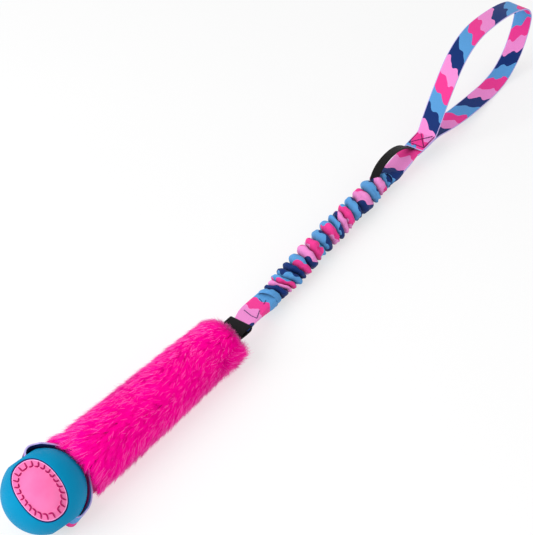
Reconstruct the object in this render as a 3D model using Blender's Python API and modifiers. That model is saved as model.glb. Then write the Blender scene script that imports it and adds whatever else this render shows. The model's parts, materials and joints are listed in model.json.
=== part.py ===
"""Bungee tug toy for dogs, in metres, +Z up, lying at rest along +X.

A rubber ball hangs on a loop of printed webbing at the mouth of a fur tube. Black webbing carries
the pull through the tube to a gathered bungee sleeve, and a flat webbing handle ends it.
"""

import math

import bmesh
import bpy
from mathutils import Matrix, Vector

MM = 0.001

# Ball and the two panels set into it
BALL_DIAMETER = 60 * MM
BORE_DIAMETER = 18 * MM
BORE_LIP_RADIUS = 3.5 * MM
PANEL_LENGTH = 51 * MM
PANEL_WIDTH = 29.5 * MM
PANEL_THICKNESS = 3 * MM
PANEL_INSET = 0.3 * MM
PANEL_GAP = 0.4 * MM
BALL_ROLL = math.radians(36)
BALL_YAW = math.radians(3.3)
PANEL_TURN = math.radians(23)

# Webbing
WEBBING_WIDTH = 20 * MM
WEBBING_THICKNESS = 1.6 * MM
SEAM_GAP = 0.3 * MM
HINGE_GAP = 0.8 * MM

# Strap that carries the ball
BALL_STRAP_THICKNESS = 1.4 * MM
BALL_STRAP_STANDOFF = 4 * MM
BALL_STRAP_NECK = 16.5 * MM
SWING_DISTANCE = 41 * MM
SWING_END_GAP = 0.5 * MM
CORE_START_GAP = 0.45 * MM
STRAP_STEPS = 3

# Fur tube and what it holds
FUR_MOUTH_GAP = 7.5 * MM
FUR_LENGTH = 168.5 * MM
FUR_MOUTH_RADIUS = 26.5 * MM
FUR_END_RADIUS = 23 * MM
FUR_BORE_RADIUS = 15 * MM
FUR_MOUTH_BORE_RADIUS = 22.8 * MM
FUR_END_WALL = 6 * MM
FUR_LIP_RADIUS = 3 * MM
FUR_PRESSED_FLAT = 0.5 * MM
PADDING_SETBACK = 18 * MM
PADDING_END_GAP = 22.5 * MM
PADDING_CLEARANCE = 0.4 * MM
BAND_REACH = 12 * MM
BAND_FOLD_LENGTH = 26 * MM
CORE_STEPS = 20
CORE_TWIST_SHARE = 0.8
FOLD_STEPS = 6

# Gathered bungee sleeve between its two flat tabs
TUG_BEND = math.radians(3.8)
LOWER_TAB_LENGTH = 43 * MM
SLEEVE_LENGTH = 216 * MM
SLEEVE_RADIUS = 12.4 * MM
SLEEVE_VALLEY_RADIUS = 7.8 * MM
RUFFLE_COUNT = 18
CORD_DIAMETER = 9 * MM
CORD_CLEARANCE = 0.5 * MM
UPPER_TAB_LENGTH = 50 * MM
TAB_ROOT_WIDTH = 22.5 * MM
TAB_ROOT_HEIGHT = 13 * MM
TAB_FOLD_SHARE = 0.15
LOWER_FLAT_SHARE = 0.35
UPPER_FLAT_SHARE = 0.7
TAB_RINGS = 12
STRAP_SQUARENESS = 8
ROOT_SQUARENESS = 2.2
ROUND_SQUARENESS = 2
RUFFLE_SIDES = 16
RUFFLE_STEPS = 4
RUFFLE_FULLNESS = 0.7
RUFFLE_LOBE_SHARE = 0.06
RUFFLE_TILT_SHARE = 0.2
RUFFLE_LEAN = 2.4
RUFFLE_WANDER = 1.7

# Handle
HANDLE_HINGE_HEIGHT = 17.7 * MM
STITCH_HEIGHT = 19 * MM
STITCH_LENGTH = 18 * MM
FREE_END_LENGTH = 14 * MM
HINGE_TO_STITCH = 15 * MM
STITCH_RISE_SHARE = 0.6
LOOP_LENGTH = 217 * MM
LOOP_HEIGHT = 102 * MM
LABEL_WIDTH = 9 * MM
LABEL_THICKNESS = 0.8 * MM
LABEL_SPAN = 44 * MM
LABEL_STEPS = 14
LABEL_BOW = 13 * MM
LABEL_BOW_POWER = 1.3
LABEL_SIDE_OFFSET = 4.8 * MM
LABEL_END_MARGIN = 3 * MM

OVERRUN = 4 * MM
MERGE_DISTANCE = 0.01 * MM

# Places along the toy, measured from the ball's centre
BALL_RADIUS = BALL_DIAMETER / 2
FUR_MOUTH_X = BALL_RADIUS + FUR_MOUTH_GAP
FUR_END_X = FUR_MOUTH_X + FUR_LENGTH
BAND_END_X = FUR_END_X + BAND_REACH
BAND_HINGE_X = BAND_END_X + HINGE_GAP
SLEEVE_START_X = BAND_HINGE_X + LOWER_TAB_LENGTH
SLEEVE_END_X = SLEEVE_START_X + SLEEVE_LENGTH
UPPER_TAB_END_X = SLEEVE_END_X + UPPER_TAB_LENGTH
HANDLE_HINGE_X = UPPER_TAB_END_X + HINGE_GAP
STITCH_X = HANDLE_HINGE_X + HINGE_TO_STITCH

# Outline of the loop beyond the box stitch, as shares of its length and height
LOWER_LIMB_SHARES = [
    (0.11, 0.172), (0.23, 0.140), (0.37, 0.103), (0.51, 0.066), (0.63, 0.033), (0.73, 0.0123),
    (0.81, 0.0123), (0.875, 0.060), (0.93, 0.155), (0.975, 0.31), (1.0, 0.49), (0.99, 0.65),
]
UPPER_LIMB_SHARES = [
    (0.955, 0.775), (0.885, 0.862), (0.783, 0.917), (0.668, 0.965), (0.553, 0.992), (0.438, 0.985),
    (0.350, 0.945), (0.276, 0.862), (0.217, 0.748), (0.166, 0.598), (0.124, 0.457), (0.083, 0.335),
]

# Outline of half of the ball's strap, from the swing joint to the bore, as shares of its reach
STRAP_HALF_SHARES = [
    (1.13, 0.052), (1.035, 0.235), (0.945, 0.440), (0.785, 0.645), (0.545, 0.835), (0.29, 0.955),
    (0.125, 0.995), (0.03, 0.965), (0.0, 0.87), (0.0, 0.70),
]


def srgb(hex_code):
    """Return a hex colour as linear RGBA."""
    channels = [int(hex_code[i:i + 2], 16) / 255 for i in (1, 3, 5)]
    linear = [c / 12.92 if c <= 0.04045 else ((c + 0.055) / 1.055) ** 2.4 for c in channels]
    return (*linear, 1)


def material(name, colour, roughness):
    """Make a Principled material of one colour."""
    made = bpy.data.materials.new(name)
    made.use_nodes = True
    shader = made.node_tree.nodes["Principled BSDF"]
    shader.inputs["Base Color"].default_value = srgb(colour)
    shader.inputs["Roughness"].default_value = roughness
    shader.inputs["Metallic"].default_value = 0
    return made


def collection(name):
    """Make a collection in the scene."""
    made = bpy.data.collections.new(name)
    bpy.context.scene.collection.children.link(made)
    return made


def move_to(obj, target):
    """Put an object in one collection only."""
    for owner in list(obj.users_collection):
        owner.objects.unlink(obj)
    target.objects.link(obj)


def pivot(name, parent, matrix):
    """Make an empty at a joint of the straight toy."""
    empty = bpy.data.objects.new(name, None)
    PARTS.objects.link(empty)
    empty.matrix_basis = matrix
    if parent:
        empty.parent = parent
        empty.matrix_parent_inverse = parent.matrix_world.inverted()
    bpy.context.view_layer.update()
    return empty


def hang(obj, parent, finish=None):
    """Fix an object to a pivot where it was modelled: a part if it has a finish, or a cutter."""
    obj.parent = parent
    obj.matrix_parent_inverse = parent.matrix_world.inverted()
    if finish:
        obj.data.materials.append(finish)
        move_to(obj, PARTS)
    else:
        obj.hide_render = True
        obj.display_type = "WIRE"
        move_to(obj, CUTTERS)
    return obj


def mesh_object(name, mesh_data):
    """Turn a bmesh into an object."""
    mesh = bpy.data.meshes.new(name)
    bmesh.ops.recalc_face_normals(mesh_data, faces=mesh_data.faces)
    mesh_data.to_mesh(mesh)
    mesh_data.free()
    obj = bpy.data.objects.new(name, mesh)
    bpy.context.scene.collection.objects.link(obj)
    return obj


def cut(obj, cutter, operation="DIFFERENCE"):
    """Boolean one object by another."""
    modifier = obj.modifiers.new(cutter.name, "BOOLEAN")
    modifier.object = cutter
    modifier.operation = operation
    modifier.solver = "EXACT"


def smooth_sides(obj, angle=35):
    """Shade smooth, with creases kept sharp."""
    obj.data.shade_smooth()
    obj.data.set_sharp_from_angle(angle=math.radians(angle))


def curve_through(points, steps):
    """Read a smooth curve through points, with so many steps a span."""
    ends = [points[0] * 2 - points[1]] + list(points) + [points[-1] * 2 - points[-2]]
    path = []
    for a, b, c, d in zip(ends, ends[1:], ends[2:], ends[3:]):
        for step in range(steps):
            t = step / steps
            path.append((b * 2 + (c - a) * t + (a * 2 - b * 5 + c * 4 - d) * t ** 2
                         + (b * 3 - a - c * 3 + d) * t ** 3) / 2)
    return path + [points[-1]]


def ease(t):
    """Turn a straight run from 0 to 1 into a smooth one."""
    t = min(max(t, 0), 1)
    return t * t * (3 - 2 * t)


def mix(a, b, t):
    """Go from one value to another."""
    return a + (b - a) * t


def ribbon(name, path, across, width, thickness):
    """Make webbing along a path: its edge is drawn, pulled across and given a thickness."""
    strip = bmesh.new()
    edge = [strip.verts.new(point - across * width / 2) for point in path]
    for a, b in zip(edge, edge[1:]):
        strip.edges.new((a, b))
    pulled = bmesh.ops.extrude_edge_only(strip, edges=strip.edges[:])
    far_edge = [item for item in pulled["geom"] if isinstance(item, bmesh.types.BMVert)]
    bmesh.ops.translate(strip, verts=far_edge, vec=across * width)
    obj = mesh_object(name, strip)
    shell = obj.modifiers.new("thickness", "SOLIDIFY")
    shell.thickness = thickness
    shell.offset = 0
    shell.use_even_offset = True
    return obj


def turned(name, profile, segments):
    """Turn a profile of (radius, height) pairs about Z."""
    outline = bmesh.new()
    corners = [outline.verts.new((radius, 0, height)) for radius, height in profile]
    for a, b in zip(corners, corners[1:]):
        outline.edges.new((a, b))
    if profile[0][0] > 0:
        outline.edges.new((corners[-1], corners[0]))
    obj = mesh_object(name, outline)
    screw = obj.modifiers.new("turn", "SCREW")
    screw.steps = segments
    screw.render_steps = segments
    screw.use_merge_vertices = True
    screw.merge_threshold = MERGE_DISTANCE
    return obj


def skin(name, rings, closed=False):
    """Loft rings of equal counts, with flat ends or closed on itself."""
    shell = bmesh.new()
    loops = [[shell.verts.new(point) for point in ring] for ring in rings]
    pairs = list(zip(loops, loops[1:])) + ([(loops[-1], loops[0])] if closed else [])
    for first, second in pairs:
        for i in range(len(first)):
            j = (i + 1) % len(first)
            shell.faces.new((first[i], first[j], second[j], second[i]))
    if not closed:
        shell.faces.new(loops[0])
        shell.faces.new(loops[-1])
    return mesh_object(name, shell)


def section(x, z, width, height, squareness, sides=24):
    """Make a ring square to X: an ellipse at squareness 2, nearly a flat strap at 8."""
    ring = []
    for i in range(sides):
        angle = math.tau * (i + 0.5) / sides
        across = math.copysign(abs(math.cos(angle)) ** (2 / squareness), math.cos(angle))
        up = math.copysign(abs(math.sin(angle)) ** (2 / squareness), math.sin(angle))
        ring.append(Vector((x, width / 2 * across, z + height / 2 * up)))
    return ring


def clear_scene():
    """Remove every object."""
    for obj in list(bpy.data.objects):
        bpy.data.objects.remove(obj)


def fur_axis_height(x):
    """Height of the fur tube's axis, which falls as the tube narrows."""
    along = (x - FUR_MOUTH_X) / FUR_LENGTH
    return mix(FUR_MOUTH_RADIUS, FUR_END_RADIUS, along) - FUR_PRESSED_FLAT


def along_fur(x):
    """Place a turned piece, drawn upwards, on the fur tube's sloping axis."""
    slope = math.atan((FUR_MOUTH_RADIUS - FUR_END_RADIUS) / FUR_LENGTH)
    start = Matrix.Translation((x, 0, fur_axis_height(x)))
    return start @ Matrix.Rotation(math.radians(90) + slope, 4, "Y")


def swing_frame():
    """Axes of the ball's strap: X to the swing joint, Y along the bore, Z across the webbing."""
    ball = Vector((0, 0, BALL_RADIUS))
    joint = Vector((SWING_DISTANCE, 0, fur_axis_height(SWING_DISTANCE)))
    along = (joint - ball).normalized()
    side = Vector((0, 1, 0))
    bore = side * math.cos(BALL_ROLL) + along.cross(side) * math.sin(BALL_ROLL)
    axes = Matrix((along, bore, along.cross(bore))).transposed()
    return Matrix.Translation(joint) @ axes.to_4x4()


def swing_reach():
    """Distance from the ball's centre to the swing joint."""
    return (swing_frame().translation - Vector((0, 0, BALL_RADIUS))).length


def spin_frame():
    """Axes of the ball: Z along the bore and X out through the front panel."""
    to_ball = Matrix.Translation((-swing_reach(), 0, 0))
    yaw = Matrix.Rotation(-BALL_YAW, 4, "Z")
    out = Vector((-math.sin(PANEL_TURN), 0, math.cos(PANEL_TURN)))
    bore = Vector((0, 1, 0))
    axes = Matrix((out, bore.cross(out), bore)).transposed()
    return swing_frame() @ to_ball @ yaw @ axes.to_4x4()


def sphere(name, radius):
    """Make a ball round the origin."""
    bpy.ops.mesh.primitive_uv_sphere_add(segments=48, ring_count=24, radius=radius)
    obj = bpy.context.object
    obj.name = name
    return obj


def oval_prism(name, length, width, side):
    """Make an oval bar out through the ball's front (1) or back (-1), long way along the bore."""
    bpy.ops.mesh.primitive_cylinder_add(vertices=48, radius=1, depth=1)
    obj = bpy.context.object
    obj.name = name
    depth = BALL_RADIUS + OVERRUN
    place = Matrix.Translation((side * depth / 2, 0, 0))
    lie = Matrix.Rotation(math.radians(90), 4, "Y")
    size = Matrix.Diagonal((length / 2, width / 2, depth, 1))
    obj.data.transform(place @ lie @ size)
    return obj


def quarter(centre, radius, start, steps):
    """Quarter of a circle as (radius, height) pairs, clockwise from an angle."""
    turn = [math.radians(start - 90 * step / steps) for step in range(steps + 1)]
    return [(centre[0] + radius * math.cos(a), centre[1] + radius * math.sin(a)) for a in turn]


def bore_cutter():
    """Make the bore, with a rounded lip at both mouths."""
    reach = BALL_RADIUS + OVERRUN
    lip = BORE_LIP_RADIUS
    lip_radius = BORE_DIAMETER / 2 + lip
    lip_height = math.sqrt(BALL_RADIUS ** 2 - lip_radius ** 2) - lip
    rounded = quarter((lip_radius, lip_height), lip, 180, 4)
    upper = [(0, reach), (lip_radius, reach)] + list(reversed(rounded))
    lower = [(radius, -height) for radius, height in reversed(upper)]
    return turned("bore_cutter", upper + lower, 32)


def make_ball(spin):
    """Model the rubber ball with its bore and pockets, and the panels that fill them."""
    def seat(obj, finish=None):
        obj.matrix_basis = spin.matrix_world.copy()
        return hang(obj, spin, finish)

    body = seat(sphere("ball_body", BALL_RADIUS), turquoise_rubber)
    cut(body, seat(bore_cutter()))
    floor = seat(sphere("pocket_floor", BALL_RADIUS - PANEL_THICKNESS - PANEL_INSET))
    crown = seat(sphere("panel_crown", BALL_RADIUS - PANEL_INSET))
    back = seat(sphere("panel_seat", BALL_RADIUS - PANEL_THICKNESS))
    growth = 2 * PANEL_GAP
    for name, side in (("ball_panel_front", 1), ("ball_panel_back", -1)):
        pocket = oval_prism(name + "_pocket", PANEL_LENGTH + growth, PANEL_WIDTH + growth, side)
        cut(seat(pocket), floor)
        cut(body, pocket)
        panel = seat(oval_prism(name, PANEL_LENGTH, PANEL_WIDTH, side), pink_rubber)
        cut(panel, crown, "INTERSECT")
        cut(panel, back)
        smooth_sides(panel)
    smooth_sides(body)


def make_ball_strap(swing):
    """Model the webbing loop that runs round the ball and through its bore."""
    reach = swing_reach()
    loop_radius = BALL_RADIUS + BALL_STRAP_STANDOFF
    lie = SEAM_GAP + BALL_STRAP_THICKNESS / 2
    half = [Vector((reach - SWING_END_GAP, lie, 0))]
    half += [Vector((x * loop_radius, y * loop_radius, 0)) for x, y in STRAP_HALF_SHARES]
    other = [Vector((point.x, -point.y, 0)) for point in reversed(half)]
    path = [point - Vector((reach, 0, 0)) for point in
            curve_through(half + [Vector()] + other, STRAP_STEPS)]
    strap = ribbon("ball_strap", path, Vector((0, 0, 1)), WEBBING_WIDTH, BALL_STRAP_THICKNESS)
    for vertex in strap.data.vertices:
        sunk = ease((BALL_RADIUS - abs(vertex.co.y)) / BALL_STRAP_STANDOFF + 1)
        centred = ease((BALL_RADIUS / 2 - abs(vertex.co.x + reach)) / BALL_STRAP_STANDOFF)
        vertex.co.z *= mix(1, BALL_STRAP_NECK / WEBBING_WIDTH, sunk * centred)
    strap.matrix_basis = swing.matrix_world.copy()
    smooth_sides(strap)
    hang(strap, swing, printed_webbing)


def box(name, low, high):
    """Make a box between two corners."""
    bpy.ops.mesh.primitive_cube_add(size=1)
    made = bpy.context.object
    made.name = name
    size = Vector(high) - Vector(low)
    centre = (Vector(high) + Vector(low)) / 2
    made.data.transform(Matrix.Translation(centre) @ Matrix.Diagonal((*size, 1)))
    return made


def make_fur(toy):
    """Model the fur tube: a flared mouth, a slow taper and a rounded end with a slot."""
    lip = FUR_LIP_RADIUS
    shoulder = FUR_END_RADIUS / 2
    inner_end = FUR_LENGTH - FUR_END_WALL
    profile = [(0, FUR_LENGTH)]
    profile += quarter((FUR_END_RADIUS - shoulder, FUR_LENGTH - shoulder), shoulder, 90, 6)
    profile += quarter((FUR_MOUTH_RADIUS - lip, lip), lip, 0, 3)
    profile += [(FUR_MOUTH_BORE_RADIUS, 0), (FUR_MOUTH_BORE_RADIUS - lip / 2, PADDING_SETBACK / 2)]
    profile += [(FUR_BORE_RADIUS, PADDING_SETBACK - lip / 2)]
    profile += [(FUR_BORE_RADIUS, inner_end - shoulder), (shoulder, inner_end), (0, inner_end)]
    fur = turned("fur_sleeve", profile, 40)
    fur.matrix_basis = along_fur(FUR_MOUTH_X)
    slot_start = FUR_END_X - FUR_END_WALL - OVERRUN
    slot_side = WEBBING_WIDTH / 2 + SEAM_GAP
    slot_rise = BAND_HEIGHT / 2 + SEAM_GAP
    slot = box("band_slot", (slot_start, -slot_side, BAND_Z - slot_rise),
               (BAND_END_X, slot_side, BAND_Z + slot_rise))
    cut(fur, hang(slot, toy))
    floor = box("floor_cutter", (0, -FUR_MOUTH_RADIUS, -OVERRUN), (BAND_END_X, FUR_MOUTH_RADIUS, 0))
    cut(fur, hang(floor, toy))
    smooth_sides(fur)
    hang(fur, toy, magenta_fur)


def core_strip(name, clearance):
    """Draw the black webbing: twisted along the tube, folded back on itself at the far end."""
    apart = (WEBBING_THICKNESS + SEAM_GAP) / 2
    turn_x = BAND_END_X - WEBBING_THICKNESS / 2 - apart
    start_x = SWING_DISTANCE + CORE_START_GAP
    level_x = FUR_END_X - BAND_FOLD_LENGTH
    path = [Vector((x, 0, fur_axis_height(x))) for x in
            (mix(start_x, level_x, step / CORE_STEPS) for step in range(CORE_STEPS))]
    path += [Vector((mix(level_x, turn_x, share), 0, BAND_Z - apart)) for share in (1 / 3, 2 / 3)]
    for step in range(FOLD_STEPS + 1):
        angle = math.radians(-90 + 180 * step / FOLD_STEPS)
        path.append(Vector((turn_x + apart * math.cos(angle), 0, BAND_Z + apart * math.sin(angle))))
    path.append(Vector((BAND_END_X - BAND_FOLD_LENGTH, 0, BAND_Z + apart)))
    width = WEBBING_WIDTH + 2 * clearance
    strip = ribbon(name, path, Vector((0, 1, 0)), width, WEBBING_THICKNESS + 2 * clearance)
    swing = swing_frame()
    pull = swing.to_3x3().col[0]
    for vertex in strip.data.vertices:
        along = (vertex.co.x - start_x) / (level_x - start_x)
        untwisted = ease((along - 1 / 2) / CORE_TWIST_SHARE + 1 / 2)
        twist = (BALL_ROLL - math.radians(90)) * (1 - untwisted)
        axis = Vector((vertex.co.x, 0, fur_axis_height(vertex.co.x)))
        vertex.co = axis + Matrix.Rotation(twist, 3, "X") @ (vertex.co - axis)
        if along < MERGE_DISTANCE:
            vertex.co.x += CORE_START_GAP - (vertex.co - swing.translation).dot(pull)
        past_fur = ease((vertex.co.x - FUR_END_X) / BAND_REACH)
        vertex.co.x -= vertex.co.y * math.tan(TUG_BEND) * past_fur
    smooth_sides(strip)
    return strip


def make_core(toy):
    """Model the black webbing that takes the pull, and the foam roll round it."""
    hang(core_strip("core_strap", 0), toy, black_webbing)
    radius = FUR_BORE_RADIUS - PADDING_CLEARANCE
    length = FUR_LENGTH - PADDING_SETBACK - PADDING_END_GAP
    profile = [(0, length), (radius, length), (radius, 0), (0, 0)]
    padding = turned("core_padding", profile, 32)
    padding.matrix_basis = along_fur(FUR_MOUTH_X + PADDING_SETBACK)
    cut(padding, hang(core_strip("core_slot", SEAM_GAP), toy))
    smooth_sides(padding)
    hang(padding, toy, white_foam)


def tab_shape(share, flat_share):
    """Size of a tab at a share of its length from its thin end: width, height, squareness."""
    doubled = ease(share / TAB_FOLD_SHARE)
    swell = ease((share - flat_share) / (1 - flat_share))
    height = WEBBING_THICKNESS * (1 + doubled)
    return (mix(WEBBING_WIDTH, TAB_ROOT_WIDTH, swell), mix(height, TAB_ROOT_HEIGHT, swell),
            mix(STRAP_SQUARENESS, ROOT_SQUARENESS, swell))


def tab_place(thin, thick, share):
    """Middle of a tab at a share of its length from its thin end."""
    return mix(thin[0], thick[0], share), mix(thin[1], thick[1], ease(share))


def make_tab(name, thin, thick, flat_share, parent):
    """Loft a tab from flat webbing to the round end of the sleeve."""
    rings = []
    for step in range(TAB_RINGS + 1):
        share = step / TAB_RINGS
        x, z = tab_place(thin, thick, share)
        rings.append(section(x, z, *tab_shape(share, flat_share)))
    tab = skin(name, rings)
    smooth_sides(tab)
    hang(tab, parent, printed_webbing)


def ruffle_ring(ruffle, share):
    """Make one ring of the gathered sleeve, part of the way along a ruffle."""
    bulge = math.sin(math.pi * share) ** RUFFLE_FULLNESS
    pitch = SLEEVE_LENGTH / RUFFLE_COUNT
    peak = SLEEVE_RADIUS / (1 + 2 * RUFFLE_LOBE_SHARE)
    radius = mix(SLEEVE_VALLEY_RADIUS, peak, bulge)
    lean = RUFFLE_LEAN * ruffle
    ring = []
    for side in range(RUFFLE_SIDES):
        angle = math.tau * side / RUFFLE_SIDES
        lobes = math.sin(2 * angle + lean) + math.sin(3 * angle + RUFFLE_WANDER * ruffle)
        out = radius * (1 + RUFFLE_LOBE_SHARE * bulge * lobes)
        x = SLEEVE_START_X + pitch * (ruffle + share)
        x += pitch * RUFFLE_TILT_SHARE * bulge * math.cos(angle - lean)
        ring.append(Vector((x, out * math.cos(angle), SLEEVE_RADIUS + out * math.sin(angle))))
    return ring


def make_bungee(bungee):
    """Model the gathered sleeve with its bore, and the elastic cord inside."""
    rings = [ruffle_ring(ruffle, step / RUFFLE_STEPS) for ruffle in range(RUFFLE_COUNT)
             for step in range(RUFFLE_STEPS)]
    rings.append(ruffle_ring(RUFFLE_COUNT - 1, 1))
    bore = CORD_DIAMETER + 2 * CORD_CLEARANCE
    for x in (SLEEVE_END_X, SLEEVE_START_X):
        rings.append(section(x, SLEEVE_RADIUS, bore, bore, ROUND_SQUARENESS, RUFFLE_SIDES))
    sleeve = skin("bungee_sleeve", rings, closed=True)
    smooth_sides(sleeve, 60)
    hang(sleeve, bungee, printed_webbing)
    bpy.ops.mesh.primitive_cylinder_add(vertices=RUFFLE_SIDES, radius=CORD_DIAMETER / 2,
                                        depth=SLEEVE_LENGTH)
    cord = bpy.context.object
    cord.name = "bungee_cord"
    middle = Matrix.Translation(((SLEEVE_START_X + SLEEVE_END_X) / 2, 0, SLEEVE_RADIUS))
    cord.matrix_basis = middle @ Matrix.Rotation(math.radians(90), 4, "Y")
    smooth_sides(cord)
    hang(cord, bungee, black_rubber)


def make_label(stretch):
    """Model the bare woven label, sewn down at both ends and bowed up between them."""
    start_x = UPPER_TAB_END_X - LABEL_END_MARGIN - LABEL_SPAN
    path = []
    for step in range(LABEL_STEPS + 1):
        share = step / LABEL_STEPS
        x = start_x + LABEL_SPAN * share
        tab_share = (UPPER_TAB_END_X - x) / UPPER_TAB_LENGTH
        middle = tab_place(UPPER_THIN, UPPER_THICK, tab_share)[1]
        top = middle + tab_shape(tab_share, UPPER_FLAT_SHARE)[1] / 2
        seat = top + SEAM_GAP + LABEL_THICKNESS / 2
        bow = LABEL_BOW * math.sin(math.pi * share) ** LABEL_BOW_POWER
        path.append(Vector((x, LABEL_SIDE_OFFSET, seat + bow)))
    label = ribbon("label", path, Vector((0, 1, 0)), LABEL_WIDTH, LABEL_THICKNESS)
    smooth_sides(label)
    hang(label, stretch, black_label)


def make_handle(handle):
    """Model the handle strap: out along the floor, round the loop and back over its own start."""
    step_up = WEBBING_THICKNESS + SEAM_GAP
    half = STITCH_LENGTH / 2

    def at(offset, height):
        return Vector((STITCH_X + offset, 0, height))

    top = STITCH_HEIGHT + step_up
    path = [at(-HINGE_TO_STITCH, HANDLE_HINGE_HEIGHT)]
    path += [at(-half, mix(HANDLE_HINGE_HEIGHT, STITCH_HEIGHT, STITCH_RISE_SHARE))]
    path += [at(0, STITCH_HEIGHT), at(half, STITCH_HEIGHT)]
    path += [at(x * LOOP_LENGTH, z * LOOP_HEIGHT) for x, z in LOWER_LIMB_SHARES + UPPER_LIMB_SHARES]
    path += [at(half + step_up, top + step_up), at(half - step_up, top), at(0, top)]
    path += [at(-FREE_END_LENGTH, top - SEAM_GAP)]
    strap = ribbon("handle_strap", curve_through(path, STRAP_STEPS), Vector((0, 1, 0)),
                   WEBBING_WIDTH, WEBBING_THICKNESS)
    smooth_sides(strap)
    hang(strap, handle, printed_webbing)


def set_down(toy, tug):
    """Bend the toy as it lies in use, and put the middle of its box over the origin."""
    tug.rotation_euler.z += TUG_BEND
    bpy.context.view_layer.update()
    shapes = bpy.context.evaluated_depsgraph_get()
    corners = []
    for obj in PARTS.objects:
        if obj.type == "MESH":
            shaped = obj.evaluated_get(shapes)
            corners += [shaped.matrix_world @ vertex.co for vertex in shaped.data.vertices]
    low = [min(corner[axis] for corner in corners) for axis in range(3)]
    high = [max(corner[axis] for corner in corners) for axis in range(3)]
    toy.location = (-(low[0] + high[0]) / 2, -(low[1] + high[1]) / 2, -low[2])
    bpy.context.view_layer.update()


clear_scene()
PARTS = collection("bungee_tug_toy")
CUTTERS = collection("cutters")

turquoise_rubber = material("turquoise rubber", "#1a9fd0", 0.45)
pink_rubber = material("pink rubber", "#ff70b8", 0.5)
printed_webbing = material("printed webbing", "#5b9bd8", 0.8)
magenta_fur = material("magenta fur", "#ff0a9a", 0.9)
black_webbing = material("black webbing", "#111114", 0.8)
white_foam = material("white foam", "#e9e7e2", 0.95)
black_rubber = material("black rubber cord", "#1a1a1c", 0.6)
black_label = material("black woven label", "#141214", 0.75)

BAND_Z = fur_axis_height(FUR_END_X)
BAND_HEIGHT = 2 * WEBBING_THICKNESS + SEAM_GAP
LOWER_THIN = (BAND_HINGE_X, BAND_Z)
LOWER_THICK = (SLEEVE_START_X - SEAM_GAP, SLEEVE_RADIUS)
UPPER_THIN = (UPPER_TAB_END_X, HANDLE_HINGE_HEIGHT)
UPPER_THICK = (SLEEVE_END_X + SEAM_GAP, SLEEVE_RADIUS)

toy_pivot = pivot("toy", None, Matrix.Identity(4))
swing_pivot = pivot("swing_joint", toy_pivot, swing_frame())
spin_pivot = pivot("spin_joint", swing_pivot, spin_frame())
band_pivot = pivot("band_joint", toy_pivot, Matrix.Translation((BAND_HINGE_X, 0, BAND_Z)))
stretch_pivot = pivot("stretch_joint", band_pivot,
                      Matrix.Translation((SLEEVE_END_X, 0, SLEEVE_RADIUS)))
handle_pivot = pivot("handle_joint", stretch_pivot,
                     Matrix.Translation((HANDLE_HINGE_X, 0, HANDLE_HINGE_HEIGHT)))

make_ball(spin_pivot)
make_ball_strap(swing_pivot)
make_fur(toy_pivot)
make_core(toy_pivot)
make_tab("lower_tab", LOWER_THIN, LOWER_THICK, LOWER_FLAT_SHARE, band_pivot)
make_bungee(band_pivot)
make_tab("upper_tab", UPPER_THIN, UPPER_THICK, UPPER_FLAT_SHARE, stretch_pivot)
make_label(stretch_pivot)
make_handle(handle_pivot)
set_down(toy_pivot, band_pivot)
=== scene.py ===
"""Bungee tug toy, dressed: rubber ball, printed webbing, faux fur, gathered bungee and handle.

Named sizes are in millimetres unless they say otherwise, and points in the world are in metres, in
the frame of the CAD. Webbing carries its cut length and width in the "fabric" UV map, in metres, so
that the print and the weave keep their real sizes round every fold.
"""

import json
import math

import bmesh
import bpy
import numpy as np
from mathutils import Matrix, Vector, noise


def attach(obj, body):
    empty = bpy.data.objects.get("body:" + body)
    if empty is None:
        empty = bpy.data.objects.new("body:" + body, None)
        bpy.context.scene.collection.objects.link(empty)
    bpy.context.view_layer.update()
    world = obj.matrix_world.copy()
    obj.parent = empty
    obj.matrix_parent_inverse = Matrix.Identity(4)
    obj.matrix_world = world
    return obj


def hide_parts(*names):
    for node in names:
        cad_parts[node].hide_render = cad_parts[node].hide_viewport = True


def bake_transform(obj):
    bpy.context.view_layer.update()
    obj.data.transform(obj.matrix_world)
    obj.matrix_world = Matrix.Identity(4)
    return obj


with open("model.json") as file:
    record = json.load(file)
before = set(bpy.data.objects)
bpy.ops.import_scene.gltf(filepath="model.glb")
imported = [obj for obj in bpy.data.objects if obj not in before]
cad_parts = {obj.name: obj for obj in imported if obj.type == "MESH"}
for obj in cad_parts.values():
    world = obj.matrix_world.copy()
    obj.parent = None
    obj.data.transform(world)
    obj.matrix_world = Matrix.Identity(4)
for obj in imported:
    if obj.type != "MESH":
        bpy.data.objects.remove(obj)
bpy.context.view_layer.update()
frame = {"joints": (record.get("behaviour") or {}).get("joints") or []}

MM = 0.001

# Places where the toy moves, and the foot of the ball on the floor, in metres
joints = {joint["name"]: joint for joint in frame["joints"]}
BALL_CENTRE = Vector(joints["ball_spin"]["pos_m"])
BALL_FOOT = Vector((BALL_CENTRE.x, BALL_CENTRE.y, 0))
STRAP_HINGE = Vector(joints["ball_swing"]["pos_m"])
BAND_HINGE = Vector(joints["band_bend"]["pos_m"])
# How far the straight tug is turned from the line of the fur tube
TUG_BEND = math.radians(3.8)

# Places along the toy in millimetres from the ball's centre
FUR_MOUTH = 37.5
FUR_END = 206.0
BAND_END = 218.0
BAND_HINGE_AT = 218.8
SLEEVE_START = 261.8
SLEEVE_END = 477.8
UPPER_TAB_END = 527.8
HANDLE_HINGE_AT = 528.6
STITCH_AT = 543.6

# Heights of the toy's middle over the floor in millimetres
BAND_HEIGHT = 22.5
SLEEVE_HEIGHT = 12.4
TAB_HEIGHT = 17.7
STITCH_HEIGHT = 19.0

# Angles round the toy: the side that the photograph looks at, and its upper left silhouette
FACING = math.radians(124.5)
LEFT = math.radians(32)

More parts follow.
